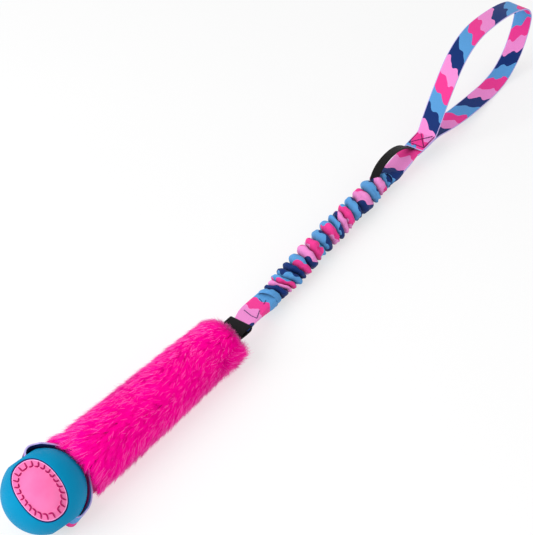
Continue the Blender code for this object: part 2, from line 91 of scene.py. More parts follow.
# Strap and thread sizes in millimetres, and the space between straps that lie on one another
WEBBING_WIDTH = 20.0
WEBBING_THICKNESS = 1.6
STRAP_GAP = 0.3
SELVEDGE = 0.45
THREAD = 0.5

# The print in millimetres: four bands that slant by so much for each millimetre across, whose
# borders wave this far either way and break up into lobes
PRINT_REPEAT = 78.0
PRINT_BAND = PRINT_REPEAT / 4
PRINT_SLANT = 0.95
WAVE_PITCH = 9.8
WAVE_DEPTH = 2.1
LOBE_SIZE = 6.5
LOBE_DEPTH = 5.0

UP = Vector((0, 0, 1))


def srgb(hex_code):
    """Return a hex colour as linear RGBA."""
    channels = [int(hex_code[i:i + 2], 16) / 255 for i in (1, 3, 5)]
    linear = [c / 12.92 if c <= 0.04045 else ((c + 0.055) / 1.055) ** 2.4 for c in channels]
    return (*linear, 1)


def add(tree, kind, inputs=None, **settings):
    """Add a node with its settings, and give or link its inputs."""
    made = tree.nodes.new(kind)
    for name, value in settings.items():
        setattr(made, name, value)
    for socket, value in (inputs or {}).items():
        if isinstance(value, bpy.types.NodeSocket):
            tree.links.new(value, made.inputs[socket])
        else:
            made.inputs[socket].default_value = value
    return made


def start_finish(name, uniform):
    """Start a Principled material, with what is the same all over set on the shader's sockets."""
    made = bpy.data.materials.new(name)
    made.use_nodes = True
    shader = made.node_tree.nodes["Principled BSDF"]
    for socket, value in uniform.items():
        shader.inputs[socket].default_value = value
    return made, made.node_tree, shader


def set_stops(ramp, stops, interpolation="LINEAR"):
    """Lay out a colour ramp's stops as (place, hex colour)."""
    ramp.color_ramp.interpolation = interpolation
    points = ramp.color_ramp.elements
    while len(points) < len(stops):
        points.new(1)
    for point, (place, colour) in zip(points, stops):
        point.position = place
        point.color = srgb(colour)


def blend_colours(tree, factor, first, second):
    """Mix two colours, given as sockets or linear RGBA, and return the mix's socket."""
    mixed = add(tree, "ShaderNodeMix", data_type="RGBA")
    tree.links.new(factor, mixed.inputs[0])
    for socket, value in ((6, first), (7, second)):
        if isinstance(value, bpy.types.NodeSocket):
            tree.links.new(value, mixed.inputs[socket])
        else:
            mixed.inputs[socket].default_value = value
    return mixed.outputs[2]


def moulded_rubber(name, colour, deep, roughness, gloss=0.3):
    """Natural rubber from a bead-blasted mould: satin, with a fine even grain and faint blooming."""
    made, tree, shader = start_finish(name, {"Roughness": roughness, "IOR": 1.52,
                                             "Specular IOR Level": gloss})
    place = add(tree, "ShaderNodeTexCoord").outputs["Object"]
    bloom = add(tree, "ShaderNodeTexNoise", {"Vector": place, "Scale": 45, "Detail": 3})
    shade = add(tree, "ShaderNodeValToRGB", {"Fac": bloom.outputs["Fac"]})
    set_stops(shade, [(0.3, deep), (0.7, colour)])
    tree.links.new(shade.outputs["Color"], shader.inputs["Base Color"])
    # Grit of about 0.5 mm, as coarse as it needs to show
    grain = add(tree, "ShaderNodeTexNoise", {"Vector": place, "Scale": 2000, "Detail": 2})
    bump = add(tree, "ShaderNodeBump", {"Height": grain.outputs["Fac"], "Strength": 0.12,
                                        "Distance": 0.05 * MM})
    tree.links.new(bump.outputs["Normal"], shader.inputs["Normal"])
    return made


def weave_height(tree, uv, along_mm, across_mm):
    """Height of a plain weave with yarns of these pitches along and across the cloth."""
    parts = add(tree, "ShaderNodeSeparateXYZ", {"Vector": uv})
    waves = []
    for axis, pitch in (("X", along_mm), ("Y", across_mm)):
        turn = add(tree, "ShaderNodeMath", {0: parts.outputs[axis], 1: math.tau / (pitch * MM)},
                   operation="MULTIPLY")
        waves.append(add(tree, "ShaderNodeMath", {0: turn.outputs[0]}, operation="SINE"))
    return add(tree, "ShaderNodeMath", {0: waves[0].outputs[0], 1: waves[1].outputs[0]},
               operation="MULTIPLY").outputs[0]


def printed_polyester(name, selvedge=True):
    """Polyester webbing, dye-printed in four colours whose stepped borders run slantwise."""
    made, tree, shader = start_finish(name, {"Roughness": 0.6, "Sheen Weight": 0.03,
                                             "Sheen Roughness": 0.4, "Specular IOR Level": 0.15})
    uv = add(tree, "ShaderNodeUVMap", uv_map="fabric").outputs["UV"]
    parts = add(tree, "ShaderNodeSeparateXYZ", {"Vector": uv})
    # How far through the repeat each point is, with the slant
    along = add(tree, "ShaderNodeMath", {0: parts.outputs["X"], 1: 1000 / PRINT_REPEAT},
                operation="MULTIPLY").outputs[0]
    place = add(tree, "ShaderNodeMath", {0: parts.outputs["Y"], 1: 1000 * PRINT_SLANT / PRINT_REPEAT,
                                         2: along}, operation="MULTIPLY_ADD").outputs[0]
    turn = add(tree, "ShaderNodeMath", {0: along, 1: math.tau}, operation="MULTIPLY")
    wave = add(tree, "ShaderNodeMath", {0: parts.outputs["Y"], 1: math.tau / (WAVE_PITCH * MM),
                                        2: turn.outputs[0]}, operation="MULTIPLY_ADD")
    wave = add(tree, "ShaderNodeMath", {0: wave.outputs[0]}, operation="SINE")
    place = add(tree, "ShaderNodeMath", {0: wave.outputs[0], 1: WAVE_DEPTH / PRINT_REPEAT, 2: place},
                operation="MULTIPLY_ADD").outputs[0]
    lobes = add(tree, "ShaderNodeTexNoise", {"Vector": uv, "Scale": 1000 / LOBE_SIZE, "Detail": 0})
    place = add(tree, "ShaderNodeMath", {0: lobes.outputs["Fac"], 1: LOBE_DEPTH / PRINT_REPEAT,
                                         2: place}, operation="MULTIPLY_ADD")
    # The lobes add half their depth on average, which comes off again
    place = add(tree, "ShaderNodeMath", {0: place.outputs[0], 1: LOBE_DEPTH / 2 / PRINT_REPEAT},
                operation="SUBTRACT")
    band = add(tree, "ShaderNodeMath", {0: place.outputs[0]}, operation="FRACT")
    print_colours = add(tree, "ShaderNodeValToRGB", {"Fac": band.outputs[0]})
    set_stops(print_colours, [(0, "#f791d8"), (0.25, "#0d3072"), (0.5, "#5a9fdc"), (0.75, "#f53c98")],
              "CONSTANT")
    # Yarns take the dye unevenly
    yarn = add(tree, "ShaderNodeTexNoise", {"Vector": uv, "Scale": 900, "Detail": 2})
    dye = add(tree, "ShaderNodeMapRange", {"Value": yarn.outputs["Fac"], "To Min": 0.86,
                                           "To Max": 1.08})
    colour = add(tree, "ShaderNodeVectorMath", {0: print_colours.outputs["Color"],
                                                "Scale": dye.outputs[0]}, operation="SCALE").outputs[0]
    # Painted shade: the cloth is darkened deep in the creases of a gather
    crease = add(tree, "ShaderNodeAttribute", attribute_name="painted_crease_shade").outputs["Fac"]
    crease_shade_factor = add(tree, "ShaderNodeMapRange", {"Value": crease, "To Min": 1.0, "To Max": 0.2})
    colour = add(tree, "ShaderNodeVectorMath", {0: colour, "Scale": crease_shade_factor.outputs[0]},
                 operation="SCALE").outputs[0]
    if selvedge:
        # The woven edge is about half a millimetre of unprinted lilac yarn
        side = add(tree, "ShaderNodeMath", {0: parts.outputs["Y"]}, operation="ABSOLUTE")
        edge = add(tree, "ShaderNodeMath", {0: side.outputs[0],
                                            1: (WEBBING_WIDTH / 2 - SELVEDGE) * MM},
                   operation="GREATER_THAN")
        colour = blend_colours(tree, edge.outputs[0], colour, srgb("#c3b4ec"))
    tree.links.new(colour, shader.inputs["Base Color"])
    bump = add(tree, "ShaderNodeBump", {"Height": weave_height(tree, uv, 1.1, 0.9),
                                        "Strength": 0.35, "Distance": 0.12 * MM})
    tree.links.new(bump.outputs["Normal"], shader.inputs["Normal"])
    return made


def plain_yarn(name, colour, highlight, along_mm, across_mm, roughness=0.7):
    """Dyed nylon or polyester yarn, woven plain, with painted shade between the yarns and a painted
    highlight on them.
    """
    made, tree, shader = start_finish(name, {"Roughness": roughness, "Sheen Weight": 0.03,
                                             "Sheen Roughness": 0.4, "Specular IOR Level": 0.16})
    uv = add(tree, "ShaderNodeUVMap", uv_map="fabric").outputs["UV"]
    weave = weave_height(tree, uv, along_mm, across_mm)
    level = add(tree, "ShaderNodeMapRange", {"Value": weave, "From Min": -1, "From Max": 1})
    # Painted shade in the dips of the weave and a painted highlight on its crowns
    shade = add(tree, "ShaderNodeValToRGB", {"Fac": level.outputs[0]})
    set_stops(shade, [(0.1, colour), (0.9, highlight)])
    tree.links.new(shade.outputs["Color"], shader.inputs["Base Color"])
    bump = add(tree, "ShaderNodeBump", {"Height": weave, "Strength": 0.5, "Distance": 0.2 * MM})
    tree.links.new(bump.outputs["Normal"], shader.inputs["Normal"])
    return made


def acrylic_pile(name):
    """Acrylic faux fur fibre: deep at the root, saturated along its length and paler at the tip.
    It glows in its own colour with painted light, which brightens it evenly however it is lit."""
    made, tree, shader = start_finish(name, {"Roughness": 0.6, "Sheen Weight": 1.0,
                                             "Sheen Roughness": 0.3, "Specular IOR Level": 0.02,
                                             "Sheen Tint": srgb("#ffb4e4"), "Emission Strength": 0.4,
                                             "Emission Color": srgb("#ff009a")})
    along = add(tree, "ShaderNodeAttribute", attribute_name="along_fibre").outputs["Fac"]
    tuft = add(tree, "ShaderNodeAttribute", attribute_name="tuft_shade").outputs["Fac"]
    depth = add(tree, "ShaderNodeValToRGB", {"Fac": along})
    set_stops(depth, [(0, "#c8006c"), (0.35, "#f0008e"), (0.85, "#fa009a"), (1, "#ff0ca4")])
    # A few fibres lie deep in shade and a few catch the light
    bright = add(tree, "ShaderNodeValToRGB", {"Fac": tuft})
    set_stops(bright, [(0, "#8c8c8c"), (0.16, "#d4d4d4"), (0.35, "#f4f4f4"), (1, "#ffffff")])
    shaded = add(tree, "ShaderNodeVectorMath", {0: depth.outputs["Color"],
                                                1: bright.outputs["Color"]}, operation="MULTIPLY")
    # Painted highlight: the palest fibres, the guard hairs among them, are whitened towards their tips
    pale = add(tree, "ShaderNodeMapRange", {"Value": tuft, "From Min": 0.7, "From Max": 1.0,
                                            "To Min": 0.0, "To Max": 0.75})
    pale = add(tree, "ShaderNodeMath", {0: pale.outputs[0], 1: along}, operation="MULTIPLY")
    colour = blend_colours(tree, pale.outputs[0], shaded.outputs[0], srgb("#ff90da"))
    tree.links.new(colour, shader.inputs["Base Color"])
    return made


def knitted_backing(name):
    """Knitted acrylic backing of the fur, dyed with it and brushed up to a short nap."""
    made, tree, shader = start_finish(name, {"Roughness": 0.9, "Sheen Weight": 0.3,
                                             "Sheen Roughness": 0.5})
    place = add(tree, "ShaderNodeTexCoord").outputs["Object"]
    nap = add(tree, "ShaderNodeTexNoise", {"Vector": place, "Scale": 900, "Detail": 3})
    # Painted shade: the nap is darker where it lies lower
    shade = add(tree, "ShaderNodeValToRGB", {"Fac": nap.outputs["Fac"]})
    set_stops(shade, [(0.3, "#a8005c"), (0.7, "#e60088")])
    tree.links.new(shade.outputs["Color"], shader.inputs["Base Color"])
    bump = add(tree, "ShaderNodeBump", {"Height": nap.outputs["Fac"], "Strength": 0.8,
                                        "Distance": 0.5 * MM})
    tree.links.new(bump.outputs["Normal"], shader.inputs["Normal"])
    return made


def open_cell_foam(name):
    """White polyurethane foam with open cells of about a millimetre."""
    made, tree, shader = start_finish(name, {"Roughness": 0.95})
    place = add(tree, "ShaderNodeTexCoord").outputs["Object"]
    cells = add(tree, "ShaderNodeTexVoronoi", {"Vector": place, "Scale": 1000})
    # Painted shade: each cell is darker down in its hollow
    shade = add(tree, "ShaderNodeValToRGB", {"Fac": cells.outputs["Distance"]})
    set_stops(shade, [(0, "#cfcac0"), (0.5, "#efece6")])
    tree.links.new(shade.outputs["Color"], shader.inputs["Base Color"])
    bump = add(tree, "ShaderNodeBump", {"Height": cells.outputs["Distance"], "Strength": 0.6,
                                        "Distance": 0.4 * MM})
    tree.links.new(bump.outputs["Normal"], shader.inputs["Normal"])
    return made


def white_to_camera(tree):
    """1 for rays from the camera and rays that gloss or clear parts send on, otherwise 0."""
    path = add(tree, "ShaderNodeLightPath")
    seen = add(tree, "ShaderNodeMath", {0: path.outputs["Is Camera Ray"],
                                        1: path.outputs["Is Glossy Ray"]}, operation="MAXIMUM")
    seen = add(tree, "ShaderNodeMath", {0: path.outputs["Is Transmission Ray"],
                                        1: seen.outputs[0]}, operation="MAXIMUM")
    return seen.outputs[0]


def paper_floor(name):
    """Matt white photographic paper: it keeps the toy's shadow and little else."""
    made, tree, shader = start_finish(name, {"Roughness": 0.95, "Specular IOR Level": 0.1})
    place = add(tree, "ShaderNodeTexCoord").outputs["Object"]
    tone = add(tree, "ShaderNodeTexNoise", {"Vector": place, "Scale": 2, "Detail": 2})
    shade = add(tree, "ShaderNodeValToRGB", {"Fac": tone.outputs["Fac"]})
    set_stops(shade, [(0.3, "#f6f6f6"), (0.7, "#fafafa")])
    tree.links.new(shade.outputs["Color"], shader.inputs["Base Color"])
    # To the camera, and in gloss, most of what it gives back is plain white
    most = add(tree, "ShaderNodeMath", {0: white_to_camera(tree), 1: 0.6}, operation="MULTIPLY")
    glow = add(tree, "ShaderNodeEmission", {"Color": (1, 1, 1, 1)})
    mixed = add(tree, "ShaderNodeMixShader", {0: most.outputs[0], 1: shader.outputs[0],
                                              2: glow.outputs[0]})
    tree.links.new(mixed.outputs[0], tree.nodes["Material Output"].inputs["Surface"])
    return made


def at_fur(x, y, z):
    """World place of a point given in millimetres along the fur tube."""
    return BALL_FOOT + Vector((x, y, z)) * MM


# How far the gathered sleeve bows to the upper left of the straight tug, in millimetres
BOW = [(216, -1.5), (222, -1.2), (232, 1.2), (243, 2.8), (254, 3.5), (266, 3.7), (300, 3.8),
       (320, 4.2), (340, 5.0), (363, 5.5), (385, 5.5), (407, 5.4), (430, 5.1), (450, 4.8), (470, 4.2),
       (485, 3.3), (500, 2.8), (515, 2.2), (527, 1.6), (537, 0.6), (545, 0.0)]


def at_tug(x, y, z):
    """World place of a point given in millimetres along the straight tug."""
    straight = Vector(((x - BAND_HINGE_AT) * MM, y * MM, z * MM - BAND_HINGE.z))
    return BAND_HINGE + Matrix.Rotation(TUG_BEND, 3, "Z") @ straight


def read_off(table, at):
    """Read a value off a table of (place, value), with straight lines between its rows."""
    return float(np.interp(at, [row[0] for row in table], [row[1] for row in table]))


def mix(a, b, t):
    """Go from one value to another."""
    return a + (b - a) * t


def ease(t):
    """Turn a straight run from 0 to 1 into a smooth one."""
    t = min(max(t, 0), 1)
    return t * t * (3 - 2 * t)


def curve_through(points, steps):
    """Read a smooth curve through points, with so many steps a span."""
    ends = [points[0] * 2 - points[1]] + list(points) + [points[-1] * 2 - points[-2]]
    path = []
    for a, b, c, d in zip(ends, ends[1:], ends[2:], ends[3:]):
        for step in range(steps):
            t = step / steps
            path.append((b * 2 + (c - a) * t + (a * 2 - b * 5 + c * 4 - d) * t ** 2
                         + (b * 3 - a - c * 3 + d) * t ** 3) / 2)
    return path + [points[-1]]


def direction(path, i):
    """Direction of a path at one of its points."""
    return (path[min(i + 1, len(path) - 1)] - path[max(i - 1, 0)]).normalized()


def run_along(points):
    """Length along a line of points, from 0 at the first."""
    return np.concatenate([[0], np.cumsum(np.linalg.norm(np.diff(points, axis=0), axis=1))])


def squared_circle(angle, squareness):
    """Place at an angle round a circle that is squared off. A squareness of 2 is a true circle."""
    return [np.sign(part) * abs(part) ** (2 / squareness) for part in (np.cos(angle), np.sin(angle))]


def piece(name, mesh, finish):
    """Put a mesh in the scene, smooth and in its finish."""
    obj = bpy.data.objects.new(name, mesh)
    bpy.context.scene.collection.objects.link(obj)
    mesh.materials.append(finish)
    mesh.shade_smooth()
    return obj


def loft(name, rings, finish, fabric=None, closed=False):
    """Skin a list of rings. fabric gives the cut places (along, across) at the two ends of each
    span between rings, in metres: one place more than a ring has points, so that the print can
    close round it."""
    rings = np.asarray(rings, float)
    count, sides = rings.shape[:2]
    faces, places = [], []
    for i in range(count if closed else count - 1):
        k = (i + 1) % count
        for j in range(sides):
            n = (j + 1) % sides
            faces.append((i * sides + j, i * sides + n, k * sides + n, k * sides + j))
            if fabric is not None:
                first, second = fabric[i]
                places += [first[j], first[j + 1], second[j + 1], second[j]]
    if not closed:
        # A cut end shows the yarn of the strap's edge
        for i, order in ((0, -1), (count - 1, 1)):
            ends = list(range(sides))[::order]
            faces.append([i * sides + j for j in ends])
            if fabric is not None:
                row = fabric[0][0] if i == 0 else fabric[-1][1]
                edge = max(across for _, across in row)
                places += [(row[j][0], edge) for j in ends]
    mesh = bpy.data.meshes.new(name)
    mesh.from_pydata(rings.reshape(-1, 3).tolist(), [], faces)
    if fabric is not None:
        uv = mesh.uv_layers.new(name="fabric")
        uv.data.foreach_set("uv", np.asarray(places, float).ravel())
    tidy = bmesh.new()
    tidy.from_mesh(mesh)
    bmesh.ops.recalc_face_normals(tidy, faces=tidy.faces)
    tidy.to_mesh(mesh)
    tidy.free()
    return piece(name, mesh, finish)


def even_fabric(rows):
    """Give each span between rings the cut places of its two ends."""
    return list(zip(rows, rows[1:]))


def strap_section(width, thickness):
    """Outline of webbing as (across, up): flat faces and rounded woven edges."""
    columns = 10
    half, round_off = width / 2, thickness / 2
    flat = [mix(-half + round_off, half - round_off, i / columns) for i in range(columns + 1)]
    right = [(half - round_off * (1 - math.cos(a)), round_off * math.sin(a))
             for a in (math.radians(60), 0, math.radians(-60))]
    left = [(-x, -y) for x, y in right]
    top = [(x, round_off) for x in flat]
    bottom = [(-x, -round_off) for x in flat]
    return top + right + bottom + left


def webbing(name, path, across, finish, width=WEBBING_WIDTH, thickness=WEBBING_THICKNESS,
            bands=None, narrow=None):
    """Run webbing along a path of world points. bands says which band of the print lies at a
    length in millimetres, and narrow gives the share of the width at each point."""
    section = strap_section(width * MM, thickness * MM)
    rings, rows = [], []
    cut = 0
    for i, point in enumerate(path):
        tangent = direction(path, i)
        side = across[i] if isinstance(across, list) else across
        side = (side - tangent * side.dot(tangent)).normalized()
        up = side.cross(tangent)
        share = narrow[i] if narrow else 1
        rings.append([point + side * x * share + up * y for x, y in section])
        if i:
            cut += (point - path[i - 1]).length
        place = bands(cut / MM) * PRINT_BAND * MM if bands else cut
        row = [(place, -x) for x, _ in section]
        rows.append(row + row[:1])
    return loft(name, rings, finish, even_fabric(rows))


def tube(name, paths, radius, finish, sides=6):
    """Round threads or cords along several paths, each drawn in at its ends, as one piece."""
    mesh_data = bmesh.new()
    uv = mesh_data.loops.layers.uv.new("fabric")
    for path in paths:
        rings = []
        for i, point in enumerate(path):
            tangent = direction(path, i)
            side = tangent.orthogonal().normalized()
            if rings:
                side = (previous - tangent * previous.dot(tangent)).normalized()
            previous = side
            up = tangent.cross(side)
            shrink = 0.45 if i in (0, len(path) - 1) else 1
            rings.append([mesh_data.verts.new(point + (side * math.cos(a) + up * math.sin(a))
                                              * radius * shrink)
                          for a in (math.tau * k / sides for k in range(sides))])
        for i, (first, second) in enumerate(zip(rings, rings[1:])):
            for j in range(sides):
                n = (j + 1) % sides
                face = mesh_data.faces.new((first[j], first[n], second[n], second[j]))
                for corner, (u, v) in zip(face.loops, ((i, j), (i, j + 1), (i + 1, j + 1), (i + 1, j))):
                    corner[uv].uv = (u * MM, v * MM)
        mesh_data.faces.new(rings[0])
        mesh_data.faces.new(rings[-1])
    bmesh.ops.recalc_face_normals(mesh_data, faces=mesh_data.faces)
    mesh = bpy.data.meshes.new(name)
    mesh_data.to_mesh(mesh)
    mesh_data.free()
    return piece(name, mesh, finish)


def stitch_row(corners, pitch=2.6):
    """Sewing stitches along a line of world corners on the upper face of webbing: short threads
    that dip into it at both ends."""
    rows = []
    for a, b in zip(corners, corners[1:]):
        run = b - a
        count = max(1, round(run.length / (pitch * MM)))
        for i in range(count):
            start, end = a + run * (i + 0.1) / count, a + run * (i + 0.9) / count
            # Heights of the thread's middle over the webbing, in thicknesses of the thread
            lifts = ((start, -0.55), (start, 0.3), ((start + end) / 2, 0.55), (end, 0.3), (end, -0.55))
            rows.append([place + UP * lift * THREAD * MM for place, lift in lifts])
    return rows


def settle(obj):
    """Turn an object's modifiers into its own mesh."""
    shapes = bpy.context.evaluated_depsgraph_get()
    mesh = bpy.data.meshes.new_from_object(obj.evaluated_get(shapes))
    obj.modifiers.clear()
    obj.data = mesh
    return obj


def carve(obj, cutters):
    """Cut shapes out of an object and drop the cutters."""
    for cutter in cutters:
        step = obj.modifiers.new(cutter.name, "BOOLEAN")
        step.object = cutter
        step.solver = "EXACT"
    settle(obj)
    for cutter in cutters:
        bpy.data.objects.remove(cutter)
    return obj


def turned(name, profile, segments, matrix, finish):
    """Turn (radius, height) pairs in millimetres about a matrix's Z, closed at both ends."""
    around = [math.tau * i / segments for i in range(segments)]
    rings = [[matrix @ Vector((radius * MM * math.cos(a), radius * MM * math.sin(a), height * MM))
              for a in around] for radius, height in profile]
    return loft(name, rings, finish)


def ride_as(obj, body, slot, *nodes):
    """Fix a piece to a body, in place of the CAD nodes named. Its slot is not used."""
    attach(obj, body)
    dress(obj, slot, *nodes)


def dress(obj, slot, *nodes):
    """Hide the CAD nodes that a piece stands for. The slot is not used."""
    if nodes:
        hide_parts(*nodes)


# Ball

BALL_RADIUS = 30.0
BORE_RADIUS = 9.0
BORE_LIP = 2.4
PANEL_LENGTH = 45.4
PANEL_WIDTH = 29.6
PANEL_SQUARENESS = 2.3
# The panel sits a little off the ball's middle, in millimetres, and is turned by two degrees
PANEL_SHIFT = (-2.5, 2.3)
PANEL_TURN = math.radians(2.1)
# Outlines of the recess and of the panel in it, as (share of the panel's size, radius)
RECESS = ([(share, 26.6) for share in (0.001, 0.3, 0.6, 0.9, 1.03)]
          + [(1.03, 29.2), (1.035, 29.55), (1.055, 29.85), (1.09, 30.1)]
          + [(share, 31) for share in (1.1, 0.8, 0.5, 0.2, 0.001)])
PANEL = [(0.001, 29.5), (0.2, 29.5), (0.4, 29.5), (0.6, 29.5), (0.7, 29.5), (0.735, 29.52),
         (0.755, 29.72), (0.78, 29.84), (0.9, 29.86), (0.95, 29.82), (0.98, 29.65), (0.995, 29.3),
         (1.0, 28.8), (1.0, 26.9)]
# A blanket stitch, as (millimetres along the border, share of the panel's size): a short bar along
# the inside of the border and one out across it
STITCH_MARK = [(3.0, 0.77), (2.0, 0.765), (0.8, 0.768), (0.15, 0.785), (0, 0.83), (0, 0.89), (0, 0.95)]
STITCH_MARKS = 24
# Radius that the stitch marks lie at on the front panel and, deeper in its border, on the far one
MARK_RADII = {1: 29.95, -1: 29.4}
# Length of the line that the stitch marks follow, in millimetres
STITCH_LINE = 99.0
# The dark line painted as the shadow in the gap round the panel, and the pale rim painted as a highlight
# on its border, as (share of the panel's size, radius, half the thickness)
GAP_SHADOW = (1.02, 29.2, 0.55)
HIGHLIGHT_RIM = (0.975, 29.62, 0.36)
OVAL_POINTS = 96

# The strap is rolled about its own length. The ball's bore lies across it but for a small yaw, and
# its front panel is tilted from the strap's face
BALL_ROLL = math.radians(36)
BALL_YAW = math.radians(3.3)
PANEL_TILT = math.radians(23)
STRAP_LINE = STRAP_HINGE - BALL_CENTRE
STRAP_SLOPE = math.atan2(-STRAP_LINE.z, STRAP_LINE.x)
# The strap's X runs from the ball to its hinge, and its Z across the webbing
STRAP_AXES = Matrix.Rotation(STRAP_SLOPE, 3, "Y") @ Matrix.Rotation(BALL_ROLL, 3, "X")
# The ball's X runs out through the front panel, and its Z along the bore
BALL_AXES = (STRAP_AXES @ Matrix.Rotation(-BALL_YAW, 3, "Z") @ Matrix.Rotation(math.radians(-90), 3, "X")
             @ Matrix.Rotation(math.radians(-90) - PANEL_TILT, 3, "Z"))
BALL_PLACE = Matrix.Translation(BALL_CENTRE) @ BALL_AXES.to_4x4()


def on_ball(around, share, radius, side):
    """World place on the ball, at an angle round the panel's oval and a share of its size."""
    y, z = squared_circle(around, PANEL_SQUARENESS)
    y = y * PANEL_WIDTH / 2 * share
    z = z * PANEL_LENGTH / 2 * share
    y, z = (y * math.cos(PANEL_TURN) - z * math.sin(PANEL_TURN) + PANEL_SHIFT[0],
            y * math.sin(PANEL_TURN) + z * math.cos(PANEL_TURN) + PANEL_SHIFT[1])
    x = math.sqrt(radius ** 2 - y ** 2 - z ** 2)
    return BALL_PLACE @ Vector((side * x * MM, y * MM, z * MM))


def oval_angle(reach):
    """Angle round the panel's oval at a share of the way along its edge."""
    around = np.linspace(0, math.tau, 721)
    y, z = squared_circle(around, PANEL_SQUARENESS)
    run = run_along(np.stack([y * PANEL_WIDTH, z * PANEL_LENGTH], 1))
    return float(np.interp(reach % 1, run / run[-1], around))


def oval_ring(share, radius, side, points=OVAL_POINTS):
    """Ring of world points round the panel's oval, at a share of its size."""
    return [on_ball(math.tau * i / OVAL_POINTS, share, radius, side) for i in range(points)]


def oval_plug(name, side, steps, finish):
    """Oval solid in the ball's skin, from steps of (share of the panel's size, radius)."""
    return loft(name, [oval_ring(share, radius, side) for share, radius in steps], finish)


def make_ball():
    """The ball: bored through, with softly rimmed bore mouths and two oval recesses."""
    bpy.ops.mesh.primitive_uv_sphere_add(segments=128, ring_count=64, radius=BALL_RADIUS * MM)
    ball = bpy.context.object
    ball.name = "rubber_ball"
    ball.matrix_world = BALL_PLACE
    bpy.context.view_layer.update()
    lip_at = BORE_RADIUS + BORE_LIP
    lip_height = math.sqrt(BALL_RADIUS ** 2 - lip_at ** 2) - BORE_LIP
    half = [(lip_at, BALL_RADIUS + 4)]
    for step in range(9):
        angle = math.radians(90 + 90 * step / 8)
        half.append((lip_at + BORE_LIP * math.cos(angle), lip_height + BORE_LIP * math.sin(angle)))
    bore = half + [(radius, -height) for radius, height in reversed(half)]
    cutters = [turned("bore", bore, 64, BALL_PLACE, turquoise_rubber)]
    cutters += [oval_plug("recess", side, RECESS, turquoise_rubber) for side in (1, -1)]
    carve(ball, cutters)
    ball.data.transform(ball.matrix_world)
    ball.matrix_world = Matrix()
    ball.data.materials.clear()
    ball.data.materials.append(turquoise_rubber)
    ball.data.shade_smooth()
    ball.data.set_sharp_from_angle(angle=math.radians(38))
    ride_as(ball, "ball", "ball_body", "ball_body")


def make_panel(name, side, node):
    """A pink oval panel: rounded rim, raised border and a slightly sunk field, left bare."""
    panel = oval_plug(name, side, PANEL, pink_rubber)
    ride_as(panel, "ball", node, node)
    # A painted shadow in the gap round the panel, and a painted highlight on its pale rim
    for label, (share, radius, half), finish in (("_gap_shadow", GAP_SHADOW, gap_shadow_rubber), ("_highlight_rim", HIGHLIGHT_RIM, highlight_rubber)):
        # Each runs once round and a little over its own start
        ring = oval_ring(share, radius, side, OVAL_POINTS + 2)
        ride_as(tube(name + label, [ring], half * MM, finish, 8), "ball", node)
    marks = []
    for i in range(STITCH_MARKS):
        reach = (i + 0.5) / STITCH_MARKS
        lean = math.copysign(1, math.cos(oval_angle(reach)))
        marks.append([on_ball(oval_angle(reach + lean * bar / STITCH_LINE), share, MARK_RADII[side],
                              side) for bar, share in STITCH_MARK])
    stitches = tube(name + "_stitch_marks", marks, 0.58 * MM, crimson_rubber, 8)
    ride_as(stitches, "ball", node)


# Strap that carries the ball

STRAP_PLACE = Matrix.Translation(STRAP_HINGE) @ STRAP_AXES.to_4x4()
# The strap's width where it runs through the bore, in millimetres
NECK_WIDTH = 16.5
# The strap's centre line in millimetres from the ball's centre, on its upper left side and, from the
# bore outwards, on its lower right
STRAP_LEFT = [(40.7, 1.0), (38.2, 2.0), (35.0, 5.6), (31.3, 12.0), (26.5, 17.9), (20.4, 23.4),
              (15.2, 27.0), (11.2, 29.0), (7.9, 29.9), (5.3, 29.5), (3.4, 27.9), (2.6, 25.6), (2.3, 22.6)]
STRAP_RIGHT = [(2.3, -23.0), (2.5, -26.6), (3.4, -29.2), (5.5, -30.7), (8.6, -30.8), (12.0, -29.4),
               (15.9, -27.3), (20.1, -24.3), (24.0, -20.3), (27.1, -15.9), (30.0, -11.0), (34.2, -5.4),
               (38.2, -2.0), (40.7, -1.0)]
# Where the far edge of the strap leans towards the ball, as (degrees, place, how far round it in
# millimetres). It curls outwards at the lower right mouth
STRAP_LEANS = [(13, (5, 31, 0), 15), (5, (20, -27, 0), 13), (-14, (5, -33, 0), 8)]
# Print bands at lengths along the strap
BALL_STRAP_BANDS = [(0, 1.9), (34, 1.6), (66, 1.15), (76, 0.2), (104, -1.25), (112, -1.02),
                    (118, -0.9), (140, -0.5), (176, -0.05)]


def make_ball_strap():
    """The printed loop round the ball and through its bore, where it is drawn narrower."""
    flat = curve_through([Vector((x, y, 0)) for x, y in STRAP_LEFT + [(2.0, 0)] + STRAP_RIGHT], 10)
    narrow, path, across = [], [], []
    for i, point in enumerate(flat):
        sunk = ease((BALL_RADIUS - abs(point.y)) / 4 + 1)
        centred = ease((BALL_RADIUS / 2 - abs(point.x)) / 4)
        narrow.append(mix(1, NECK_WIDTH / WEBBING_WIDTH, sunk * centred))
        path.append(STRAP_PLACE @ (point * MM - Vector((STRAP_LINE.length, 0, 0))))
        lean = sum(most * math.exp(-((point - Vector(place)).length / reach) ** 2)
                   for most, place, reach in STRAP_LEANS)
        turn = Matrix.Rotation(math.radians(lean), 3, STRAP_AXES @ direction(flat, i))
        across.append(turn @ STRAP_AXES.col[2])
    strap = webbing("ball_loop", path, across, printed_strap, thickness=1.4,
                    bands=lambda cut: read_off(BALL_STRAP_BANDS, cut), narrow=narrow)
    ride_as(strap, "ball_strap", "ball_strap", "ball_strap")


# Fur tube

FUR_LENGTH = FUR_END - FUR_MOUTH
MOUTH_RADIUS = 26.5
END_RADIUS = 23.0
# How deep the tube is pressed into the floor, in millimetres
PRESSED = 0.5
PILE_DEPTH = 6.0
BACKING_THICKNESS = 3.2
FIBRE_LENGTH = 11.5
FIBRE_WIDTH = 0.4
# The grid that the tufts stand in: cells of this length, and so many round the tube, 2 mm apart
TUFT_CELL = 3.8
TUFTS_ROUND = 64
